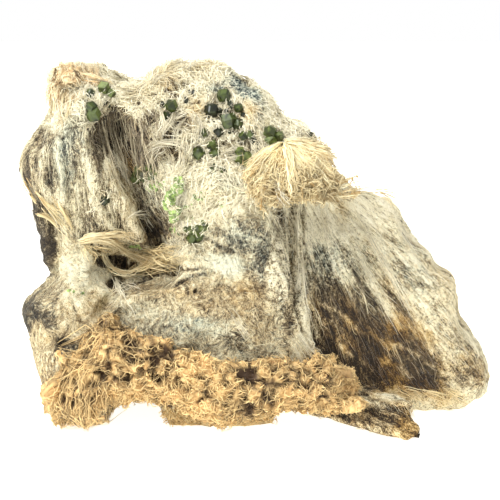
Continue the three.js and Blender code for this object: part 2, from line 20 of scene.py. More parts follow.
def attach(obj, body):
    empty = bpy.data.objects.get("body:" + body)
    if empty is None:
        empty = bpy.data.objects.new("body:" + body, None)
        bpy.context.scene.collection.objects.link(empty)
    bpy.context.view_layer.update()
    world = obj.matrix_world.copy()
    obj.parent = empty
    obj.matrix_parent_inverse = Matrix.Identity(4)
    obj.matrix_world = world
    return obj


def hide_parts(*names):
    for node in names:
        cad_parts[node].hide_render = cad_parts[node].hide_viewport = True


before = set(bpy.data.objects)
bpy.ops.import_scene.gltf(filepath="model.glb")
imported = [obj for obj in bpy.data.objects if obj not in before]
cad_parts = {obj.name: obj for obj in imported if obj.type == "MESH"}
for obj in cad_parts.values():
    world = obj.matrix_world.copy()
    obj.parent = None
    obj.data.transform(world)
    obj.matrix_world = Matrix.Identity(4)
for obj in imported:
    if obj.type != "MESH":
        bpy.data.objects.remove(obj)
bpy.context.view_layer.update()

MM = 0.001

# %% [markdown]
# ## The camera comes first
#
# The piece stands a little below eye height, ten degrees, and fills the square frame. A long lens
# keeps it free of distortion. The camera comes first because the places of the stains are named by
# where they are seen in the picture, so the steps below ask it where a point falls.

# %% Camera
EYE_HEIGHT = math.radians(10)
LENS_MM = 120
SENSOR_MM = 36
DISTANCE = 333 * MM
SHIFT = np.array((0.1, -1.8375, 0.0))  # the solids were drawn this far from the frame's middle, in mm
AIM = Vector((-0.7, SHIFT[1], 35.0)) * MM
PICTURE = 500

camera_data = bpy.data.cameras.new("camera")
camera_data.lens = LENS_MM
camera_data.sensor_width = SENSOR_MM
camera_data.clip_start = 0.01
camera_data.clip_end = 20
camera = bpy.data.objects.new("camera", camera_data)
bpy.context.scene.collection.objects.link(camera)
towards_eye = Vector((0, -math.cos(EYE_HEIGHT), math.sin(EYE_HEIGHT)))
camera.location = AIM + towards_eye * DISTANCE
camera.rotation_euler = (-towards_eye).to_track_quat("-Z", "Y").to_euler()
bpy.context.scene.camera = camera
picture_up = Vector((0, math.sin(EYE_HEIGHT), math.cos(EYE_HEIGHT)))


def seen_at(points):
    """Where points are in the picture, in pixels from its left and top edge."""
    away = points - np.array(camera.location)
    depth = away @ np.array(-towards_eye)
    pixels = LENS_MM / SENSOR_MM * PICTURE / depth
    return PICTURE / 2 + away[:, 0] * pixels, PICTURE / 2 - away @ np.array(picture_up) * pixels


# %% [markdown]
# ## Light and floor
#
# The piece stands on a bright white table under soft light from all sides, with the strongest light
# from above on the left. The table glows a little, as a light table does, so it stays white beside
# the piece.

# %% Helpers for colours and nodes


def colour(code):
    """A colour written as sRGB hex, turned to the linear values that Blender mixes."""
    levels = [int(code[i:i + 2], 16) / 255 for i in (1, 3, 5)]
    return tuple(v / 12.92 if v <= 0.04045 else ((v + 0.055) / 1.055) ** 2.4 for v in levels) + (1.0,)


def add_node(tree, kind, settings=None, inputs=None, stops=None):
    """Adds a node with its settings. An input takes a value, or the output that feeds it.
    Stops are the (place, colour) pairs of a ramp."""
    node = tree.nodes.new(kind)
    if stops:
        ramp = node.color_ramp
        for number, (place, code) in enumerate(stops):
            element = ramp.elements[number] if number < 2 else ramp.elements.new(place)
            element.position = place
            element.color = colour(code)
    for name, value in (settings or {}).items():
        setattr(node, name, value)
    for key, value in (inputs or {}).items():
        if isinstance(value, bpy.types.NodeSocket):
            tree.links.new(value, node.inputs[key])
        else:
            node.inputs[key].default_value = value
    return node


def new_material(name):
    """An empty material and its output node."""
    material = bpy.data.materials.new(name)
    material.use_nodes = True
    material.node_tree.nodes.clear()
    return material, material.node_tree, material.node_tree.nodes.new("ShaderNodeOutputMaterial")


# %% Floor, sky and lamps
TABLE_SIZE = 3.0
table_mesh = bpy.data.meshes.new("table")
half = TABLE_SIZE / 2
table_mesh.from_pydata([(-half, -half, 0), (half, -half, 0), (half, half, 0), (-half, half, 0)], [], [(0, 1, 2, 3)])
table = bpy.data.objects.new("table", table_mesh)
bpy.context.scene.collection.objects.link(table)
paper, tree, output = new_material("white_paper")
shader = add_node(tree, "ShaderNodeBsdfPrincipled", None, {
    "Base Color": colour("#f4f4f0"), "Roughness": 0.9, "Specular IOR Level": 0.1,
    "Emission Color": colour("#fffefa"), "Emission Strength": 0.9})
tree.links.new(shader.outputs[0], output.inputs["Surface"])
table_mesh.materials.append(paper)

world = bpy.data.worlds.new("studio")
bpy.context.scene.world = world
world.use_nodes = True
world.node_tree.nodes["Background"].inputs["Color"].default_value = colour("#ffffff")
world.node_tree.nodes["Background"].inputs["Strength"].default_value = 1.0


def soft_lamp(name, place, size, power):
    """A square lamp that points at the piece."""
    data = bpy.data.lights.new(name, "AREA")
    data.size = size
    data.energy = power
    lamp = bpy.data.objects.new(name, data)
    bpy.context.scene.collection.objects.link(lamp)
    lamp.location = Vector(place)
    lamp.rotation_euler = (Vector((0, 0, 0.03)) - lamp.location).to_track_quat("-Z", "Y").to_euler()


soft_lamp("upper_left_lamp", (-0.35, -0.35, 0.55), 0.4, 6.5)
bpy.context.scene.view_settings.view_transform = "Standard"
print("camera and light are set")

# %% [markdown]
# ## Numbers that repeat
#
# Stone has irregular relief, but the file has to give the same piece on each run. So the noise is
# made from the lattice cell that a point is in: the same place always has the same height.

# %% Repeatable noise


def cell_value(cell, seed):
    """A number from -1 to 1 for each cell of a lattice."""
    mixed = (cell[:, 0] * 73856093) ^ (cell[:, 1] * 19349663) ^ (cell[:, 2] * 83492791) ^ (seed * 40503 + 977)
    mixed = (mixed ^ (mixed >> 13)) * 1274126177
    return ((mixed ^ (mixed >> 16)) & 0xFFFF) / 32767.5 - 1.0


def cloud(points, size, seed, octaves=2):
    """Smooth noise from about -1 to 1. Its features are `size` across, in the unit of the points."""
    total = np.zeros(len(points))
    for octave in range(octaves):
        scaled = points / size * 2 ** octave + seed * 17.31
        cell = np.floor(scaled).astype(np.int64)
        part = scaled - cell
        part = part * part * (3 - 2 * part)
        value = np.zeros(len(points))
        for corner in np.ndindex(2, 2, 2):
            share = np.prod(np.where(np.array(corner), part, 1 - part), axis=1)
            value += share * cell_value(cell + np.array(corner), seed + octave)
        total += value / 2 ** octave
    return total / (2 - 0.5 ** (octaves - 1)) * 1.3


def knobs(points, size, seed):
    """Rounded lumps side by side: 1 in the middle of a lump, 0 in the gaps between them."""
    scaled = points / size + seed * 7.13
    first = np.floor(scaled).astype(np.int64)
    nearest = np.full(len(points), 9.0)
    for step in np.ndindex(3, 3, 3):
        cell = first + np.array(step) - 1
        middle = cell + 0.5 + 0.4 * np.stack([cell_value(cell, seed + axis) for axis in range(3)], axis=1)
        nearest = np.minimum(nearest, ((scaled - middle) ** 2).sum(axis=1))
    return np.clip(1 - nearest / 0.6, 0, 1)


def smooth(low, high, values):
    """0 below low, 1 above high, and a soft step between them."""
    share = np.clip((values - low) / (high - low), 0.0, 1.0)
    return share * share * (3.0 - 2.0 * share)


# %% Places in the picture


def off_line(line, px, py):
    """How far points are from a line through the given corners, in pixels."""
    nearest = np.full(px.shape, 1e9)
    for (ax, ay), (bx, by) in zip(line, line[1:]):
        dx, dy = bx - ax, by - ay
        along = np.clip(((px - ax) * dx + (py - ay) * dy) / (dx * dx + dy * dy), 0, 1)
        nearest = np.minimum(nearest, np.hypot(px - ax - along * dx, py - ay - along * dy))
    return nearest


def inside(outline, px, py, soft):
    """1 inside an outline and 0 outside it, with a soft edge."""
    closed = outline + outline[:1]
    odd = np.zeros(px.shape, bool)
    for (ax, ay), (bx, by) in zip(closed, closed[1:]):
        if ay != by:
            odd ^= ((ay > py) != (by > py)) & (px < ax + (py - ay) * (bx - ax) / (by - ay))
    return smooth(-soft, soft, np.where(odd, 1, -1) * off_line(closed, px, py))


def spot(px, py, x, y, across, up, turn, soft=0.35):
    """1 inside an ellipse and 0 outside it. Its long way is turned by so many degrees."""
    c, s = math.cos(math.radians(turn)), math.sin(math.radians(turn))
    u, v = (px - x) * c + (py - y) * s, (py - y) * c - (px - x) * s
    return 1 - smooth(1 - soft, 1 + soft, np.hypot(u / across, v / up))


# %% [markdown]
# ## From solid to fine surface
#
# The solid has some 4,000 faces. A voxel remesh turns a copy of it into even cells of less than half
# a millimetre. Those are small enough to carry ribs, crumbs and pits, which are added by moving each
# point along its normal.

# %% Copy, remesh and measure


def welded_copy(node, name):
    """A copy of a part's mesh, with its loose triangles joined."""
    piece = bpy.data.objects.new(name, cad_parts[node].data.copy())
    bpy.context.scene.collection.objects.link(piece)
    piece.data.materials.clear()
    mesh = bmesh.new()
    mesh.from_mesh(piece.data)
    bmesh.ops.remove_doubles(mesh, verts=mesh.verts, dist=1e-6)
    mesh.to_mesh(piece.data)
    mesh.free()
    return piece


def bake(piece):
    """Swaps a piece's mesh for what its modifiers make of it, and removes them."""
    shaped = piece.evaluated_get(bpy.context.evaluated_depsgraph_get())
    mesh = bpy.data.meshes.new_from_object(shaped)
    piece.modifiers.clear()
    piece.data = mesh
    piece.data.name = piece.name
    return piece


def remeshed(piece, cell, smoothing=0):
    """Rebuilds a piece from even cells, with its corners softened."""
    remesh = piece.modifiers.new("cells", "REMESH")
    remesh.mode = "VOXEL"
    remesh.voxel_size = cell
    remesh.use_smooth_shade = True
    if smoothing:
        soften = piece.modifiers.new("soften", "SMOOTH")
        soften.iterations = smoothing
        soften.factor = 0.5
    return bake(piece)


def largest_part(piece):
    """Keeps the largest connected part of a mesh: a remesh can break thin tips off."""
    mesh = bmesh.new()
    mesh.from_mesh(piece.data)
    mesh.verts.ensure_lookup_table()
    part = np.full(len(mesh.verts), -1)
    for first in mesh.verts:
        if part[first.index] < 0:
            waiting = [first]
            part[first.index] = first.index
            while waiting:
                for edge in waiting.pop().link_edges:
                    for corner in edge.verts:
                        if part[corner.index] < 0:
                            part[corner.index] = first.index
                            waiting.append(corner)
    names, sizes = np.unique(part, return_counts=True)
    extra = [corner for corner in mesh.verts if part[corner.index] != names[sizes.argmax()]]
    bmesh.ops.delete(mesh, geom=extra, context="VERTS")
    mesh.to_mesh(piece.data)
    mesh.free()
    return piece


def points_of(piece):
    """The places of a mesh's points, and their normals, as arrays."""
    count = len(piece.data.vertices)
    places = np.empty(count * 3)
    normals = np.empty(count * 3)
    piece.data.vertices.foreach_get("co", places)
    piece.data.vertex_normals.foreach_get("vector", normals)
    return places.reshape(-1, 3), normals.reshape(-1, 3)


def move_points(piece, places):
    piece.data.vertices.foreach_set("co", places.ravel())
    piece.data.update()


def write_values(piece, **values):
    """Stores a number or a vector for each point of a mesh, under a name."""
    for name, value in values.items():
        kind, field = ("FLOAT_VECTOR", "vector") if value.ndim == 2 else ("FLOAT", "value")
        layer = piece.data.attributes.new(name, kind, "POINT")
        layer.data.foreach_set(field, np.ascontiguousarray(value, dtype=np.float32).ravel())


rock = remeshed(welded_copy("matrix", "fibrous_rock"), 0.485 * MM, smoothing=2)
print("rock:", len(rock.data.polygons), "faces")

# %% [markdown]
# ## Where each kind of surface is
#
# The rock is one body, but its skin changes from place to place. Each region is an outline in the
# picture. It only holds for the side that faces the viewer: on the other sides, nothing is known, so
# they get the same kinds of skin by height and noise.

# %% Regions of the front
REGIONS = {
    "crown": [(44, 55), (262, 50), (300, 112), (312, 200), (262, 204), (232, 200), (200, 236), (186, 236),
              (164, 186), (150, 168), (142, 130), (120, 106), (96, 124), (62, 136), (44, 122)],
    "left_slab": [(15, 118), (60, 134), (96, 122), (118, 104), (146, 128), (160, 190), (182, 262), (160, 268),
                  (132, 238), (98, 230), (72, 240), (40, 236), (15, 190)],
    "recess": [(98, 122), (112, 106), (128, 110), (148, 126), (158, 150), (158, 186), (170, 222), (182, 258),
               (166, 266), (150, 244), (138, 206), (118, 176), (104, 146)],
    "left_lobe": [(20, 250), (50, 236), (80, 240), (112, 262), (120, 300), (100, 330), (60, 350), (20, 350)],
    "middle_lobe": [(104, 292), (110, 270), (140, 268), (180, 262), (200, 232), (232, 198), (262, 200),
                    (284, 262), (300, 320), (322, 372), (250, 380), (110, 340)],
    "right_slab": [(264, 196), (330, 180), (400, 180), (500, 300), (500, 420), (400, 412), (350, 404),
                   (322, 366), (302, 322), (284, 262)],
    "tongue": [(322, 398), (356, 392), (400, 404), (426, 412), (430, 446), (392, 446), (320, 420)],
    "plank": [(28, 190), (46, 196), (54, 232), (58, 278), (48, 284), (30, 240)],
}
places, normals = points_of(rock)
spots_mm = places / MM - SHIFT
px, py = seen_at(places)
px = px + 5.0 * cloud(spots_mm, 4.0, 1, 4)
py = py + 5.0 * cloud(spots_mm, 4.0, 2, 4)
facing = smooth(-0.25, 0.25, normals @ np.array(towards_eye))
region = {name: inside(outline, px, py, 4.0) * facing for name, outline in REGIONS.items()}
hidden = 1 - facing
print({name: round(float(value.mean()), 3) for name, value in region.items()})

# %% [markdown]
# ## The grain of the stone
#
# Chrysotile fibres lie side by side, so stains, ribs and splits all run one way. Each point gets a
# place in grain coordinates: millimetres across the fibres and along them. On the right slab, the
# fibres spread like a fan from one point near the top.

# %% Grain and the way that fibres lie
FAN_TOP = np.array((3.0, 58.0))
FAN_RADIUS = 34.0
x, y, z = spots_mm.T
from_top = np.stack((x - FAN_TOP[0], FAN_TOP[1] - z), axis=1)
fan_length = np.hypot(*from_top.T)
fan_turn = np.arctan2(from_top[:, 0], from_top[:, 1])
slant = region["recess"] * 0.32 + region["left_slab"] * 0.08
grain = np.stack((x - slant * (60 - z), z, y), axis=1)
in_fan = np.maximum(region["right_slab"], hidden * smooth(0, 12, x))[:, None]
fan_grain = np.stack((fan_turn * FAN_RADIUS, fan_length, y), axis=1)
grain = np.where(in_fan > 0.5, fan_grain, grain)
unlaid = np.maximum(region["middle_lobe"], np.maximum(region["left_lobe"], region["crown"]))[:, None] > 0.5
warp = np.stack([cloud(spots_mm, 3.5, seed) for seed in (15, 16, 17)], axis=1) * (1.2, 2.0, 1.2)
leafy = region["tongue"][:, None] > 0.5
leaf_grain = np.stack((0.18 * py - 0.085 * px, 0.2 * px, 0.3 * y), axis=1)
grain = np.where(leafy, leaf_grain, grain)
grain = np.where(unlaid, np.stack((0.6 * x + 0.25 * z, 1.7 * z - 0.5 * x, 1.1 * y), axis=1) + warp, grain)


def turned_to(vectors):
    return vectors / np.maximum(np.linalg.norm(vectors, axis=1, keepdims=True), 1e-9)


swirl = np.stack([cloud(spots_mm, 5.0, seed) for seed in (11, 12, 13)], axis=1)
down = np.stack((slant, np.zeros_like(x), -np.ones_like(x)), axis=1)
down_fan = np.stack((np.sin(fan_turn), np.zeros_like(x), -np.cos(fan_turn)), axis=1)
comb = cloud(grain * (1.0, 0.12, 0.5), 1.2, 14, 3) * 15.0 * (1 - 0.75 * np.clip(region["crown"] + region["middle_lobe"], 0, 1))
stain_px = px + comb * np.where(in_fan[:, 0] > 0.5, np.sin(fan_turn), slant)
stain_py = py + comb * np.where(in_fan[:, 0] > 0.5, np.cos(fan_turn), 1.0)
combed = np.clip(region["left_slab"] + region["right_slab"] + 0.6 * hidden + 0.35 * region["middle_lobe"], 0, 1)[:, None]
lie = turned_to(np.where(in_fan > 0.5, down_fan, down) * combed + swirl * (1.15 - combed))

# %% [markdown]
# ## Fine relief
#
# Three kinds of roughness are laid over each other: crumbs on the felt, ribs along the grain of the
# slabs, and soft swellings on the skin of the lobes. A few creases and pits have places of their own.

# %% Relief of the rock
CREASES = {  # line in the picture, half width in pixels, depth in mm
    "slab_groove_left": ([(292, 204), (293, 250), (296, 300), (304, 330)], 2.2, 1.0),
    "slab_groove_right": ([(303, 206), (304, 260), (308, 310), (318, 345)], 2.4, 1.1),
    "lobe_edge": ([(264, 204), (280, 250), (290, 296), (310, 350)], 2.0, 0.5),
    "upper_fold": ([(160, 244), (178, 236), (206, 238), (232, 252)], 3.0, 0.45),
    "lower_fold": ([(128, 284), (150, 278), (172, 269), (206, 268), (232, 274), (252, 290)], 2.2, 0.4),
    "inner_fold": ([(176, 284), (190, 276), (212, 272), (226, 280), (236, 294)], 2.0, 0.3),
    "left_lobe_seam": ([(66, 262), (72, 300), (84, 322)], 1.8, 0.5),
    "slab_notch": ([(339, 202), (342, 214), (342, 228)], 4.5, 0.7),
    "slab_break": ([(386, 194), (392, 210), (402, 224)], 1.8, 0.6),
    "lower_gully": ([(141, 212), (149, 228), (160, 246)], 3.4, 1.8),
    "under_bands": ([(96, 252), (110, 262), (122, 284)], 4.0, 1.6),
}
PITS = [  # x, y, half width, half height in pixels, depth in mm
    (97, 254, 4, 3, 1.5), (118, 262, 9, 5, 2.0), (134, 268, 6, 5, 1.6), (172, 270, 9, 4, 2.2),
    (112, 282, 5, 5, 1.5), (181, 281, 2.2, 1.8, 1.0), (194, 291, 1.8, 1.8, 1.0), (344, 206, 5, 9, 0.5),
    (408, 310, 5, 4.5, 0.35), (170, 138, 8, 5, 1.8), (176, 158, 6, 6, 1.6), (62, 344, 5, 4, 0.9),
    (190, 235, 9, 3, 0.9), (166, 155, 5, 10, 1.4),
]
RIDGES = [  # line in the picture, half width in pixels, height in mm
    ([(384, 192), (396, 226), (412, 256), (428, 284)], 3.2, 0.7), ([(352, 200), (372, 240), (396, 282), (420, 330)], 3.0, 0.7),
    ([(345, 226), (362, 262), (380, 296), (398, 330)], 2.0, 0.5), ([(322, 200), (330, 240), (344, 280)], 2.6, 0.5),
    ([(298, 205), (299, 250), (303, 300), (312, 336)], 2.2, 0.7), ([(404, 210), (420, 246), (440, 286), (456, 330)], 2.4, 0.6),
    ([(320, 300), (360, 330), (410, 352), (452, 372)], 3.0, 0.6), ([(286, 200), (286, 250), (291, 300)], 2.2, 0.6),
    ([(330, 250), (346, 290), (366, 326), (392, 350)], 1.8, 0.45), ([(366, 214), (386, 256), (410, 300), (432, 350)], 2.0, 0.5),
    ([(306, 292), (322, 322), (344, 350), (372, 370)], 2.0, 0.4), ([(418, 290), (436, 326), (448, 366)], 2.2, 0.5),
    ([(60, 140), (62, 170), (66, 200)], 4.0, 0.6), ([(84, 128), (88, 160), (96, 200), (112, 228)], 4.0, 0.6),
    ([(44, 150), (42, 180), (50, 210)], 3.0, 0.5), ([(104, 150), (116, 190), (136, 232)], 3.0, 0.6),
    ([(30, 268), (52, 258), (70, 262), (76, 290), (60, 312)], 4.0, 0.6), ([(78, 300), (96, 312), (92, 330)], 3.5, 0.5),
    ([(262, 206), (276, 240), (288, 296), (312, 350)], 4.0, 0.5), ([(120, 300), (160, 290), (200, 310)], 5.0, 0.4),
    ([(130, 274), (152, 264), (174, 255), (206, 258), (238, 280), (254, 296)], 4.0, 0.6), ([(170, 238), (196, 224), (226, 222), (252, 240)], 5.0, 0.6),
    ([(196, 286), (222, 276), (240, 286), (236, 306)], 3.5, 0.4), ([(130, 320), (170, 312), (206, 326), (240, 322)], 4.0, 0.4),
]
SWELLS = [  # x, y, half width, half height in pixels, height in mm
    (472, 384, 16, 18, 1.3), (396, 200, 12, 8, 1.0), (450, 282, 12, 20, 0.8), (30, 300, 12, 20, 0.9), (24, 166, 8, 18, 0.6),
    (130, 74, 26, 8, -1.5), (50, 106, 8, 16, -1.0), (420, 240, 12, 14, -0.8), (246, 84, 10, 14, -0.8), (286, 112, 16, 10, -0.7),
    (330, 152, 10, 14, -0.6), (300, 180, 24, 14, -0.8), (96, 268, 12, 10, 0.8), (80, 300, 18, 14, 0.6), (210, 330, 40, 20, 0.5),
    (200, 190, 22, 12, 0.7), (230, 178, 22, 12, 0.8), (160, 92, 22, 16, 0.5), (358, 206, 20, 14, 0.6),
    (28, 130, 14, 16, -0.9), (46, 262, 8, 16, 0.8), (28, 318, 8, 26, 0.8), (36, 352, 8, 20, 0.6), (410, 230, 12, 16, -0.8),
    (440, 262, 12, 12, -1.1), (458, 310, 8, 30, -0.6), (484, 372, 12, 28, 1.4), (419, 440, 7, 6, -1.2), (410, 430, 8, 7, 1.0), (440, 404, 40, 8, 1.0), (240, 68, 14, 8, -1.0),
    (285, 112, 22, 12, -0.7), (132, 76, 14, 6, -0.8), (352, 188, 12, 8, -1.1),
    (66, 210, 16, 12, 0.5), (150, 205, 14, 14, 0.6),
]
felt = np.maximum(region["crown"], 0)
slabs = np.clip(region["left_slab"] + region["right_slab"] + region["plank"], 0, 1)
skin = np.clip(region["middle_lobe"] + region["left_lobe"], 0, 1)
ribs = cloud(grain * (1.0, 0.11, 0.4), 1.15, 21) * 0.42 + cloud(grain * (1.0, 0.12, 0.5), 0.6, 22, 1) * 0.2
ribs += cloud(grain * (1.0, 0.07, 0.3), 3.2, 20, 1) * 0.4
crumbs = cloud(spots_mm, 2.4, 23) * 0.65 + cloud(spots_mm, 1.1, 24, 1) * 0.36
swells = cloud(spots_mm, 5.0, 25) * 0.45 + cloud(spots_mm, 1.5, 26) * 0.18
leaves = cloud(leaf_grain * (1.0, 0.08, 0.1), 1.3, 27, 1) * 0.8
GAPPY = [(205, 128, 62, 40), (165, 145, 30, 34), (172, 86, 30, 12), (142, 96, 14, 12), (96, 96, 22, 22), (240, 150, 30, 20)]  # where felt has holes
gappy = np.zeros(len(places)) + 0.25
for at_x, at_y, half_x, half_y in GAPPY:
    gappy = np.maximum(gappy, spot(px, py, at_x, at_y, half_x, half_y, 0, 0.5))
gaps = smooth(0.22, 0.5, cloud(spots_mm, 1.5, 52, 2)) * gappy * region["crown"]
crumbs = crumbs - 0.8 * gaps
ribs = ribs * (1 + 0.7 * region["recess"])
height = felt * crumbs + slabs * ribs + skin * swells + region["tongue"] * leaves
height += hidden * (ribs * 0.7 + swells * 0.8)
clean_px, clean_py = seen_at(places)
for line, width, depth in CREASES.values():
    height -= facing * depth * np.exp(-(off_line(line, clean_px + 2 * cloud(spots_mm, 2.5, 28), clean_py) / width) ** 2)
for at_x, at_y, half_x, half_y, depth in PITS:
    height -= facing * depth * spot(clean_px, clean_py, at_x, at_y, half_x, half_y, 0)
# The crest of each ridge is also kept as a mask for a painted highlight.
painted_crest_highlight = np.zeros(len(places))
for line, width, rise in RIDGES:
    ridge = np.exp(-(off_line(line, px, py) / width) ** 2) * facing
    height += rise * ridge * (0.75 + 0.5 * cloud(spots_mm, 1.6, 29))
    painted_crest_highlight = np.maximum(painted_crest_highlight, ridge)
for at_x, at_y, half_x, half_y, rise in SWELLS:
    height += rise * spot(clean_px, clean_py, at_x, at_y, half_x, half_y, 0, 0.8)
keep_flat = smooth(0.05, 0.6, z)
move_points(rock, places + normals * (height * keep_flat * MM)[:, None])
print("relief from", round(float(height.min()), 2), "to", round(float(height.max()), 2), "mm")

# %% [markdown]
# ## Stains, painted highlights and painted shade
#
# Four masks say how the stone is coloured: pale for clean fibre and for painted highlights on crests
# and rims, ochre for iron stain, dark for bare rock and for painted shade in pits, creases and holes,
# and blue for the serpentine that shows through. Broad fields come first, and named spots are laid
# over them.

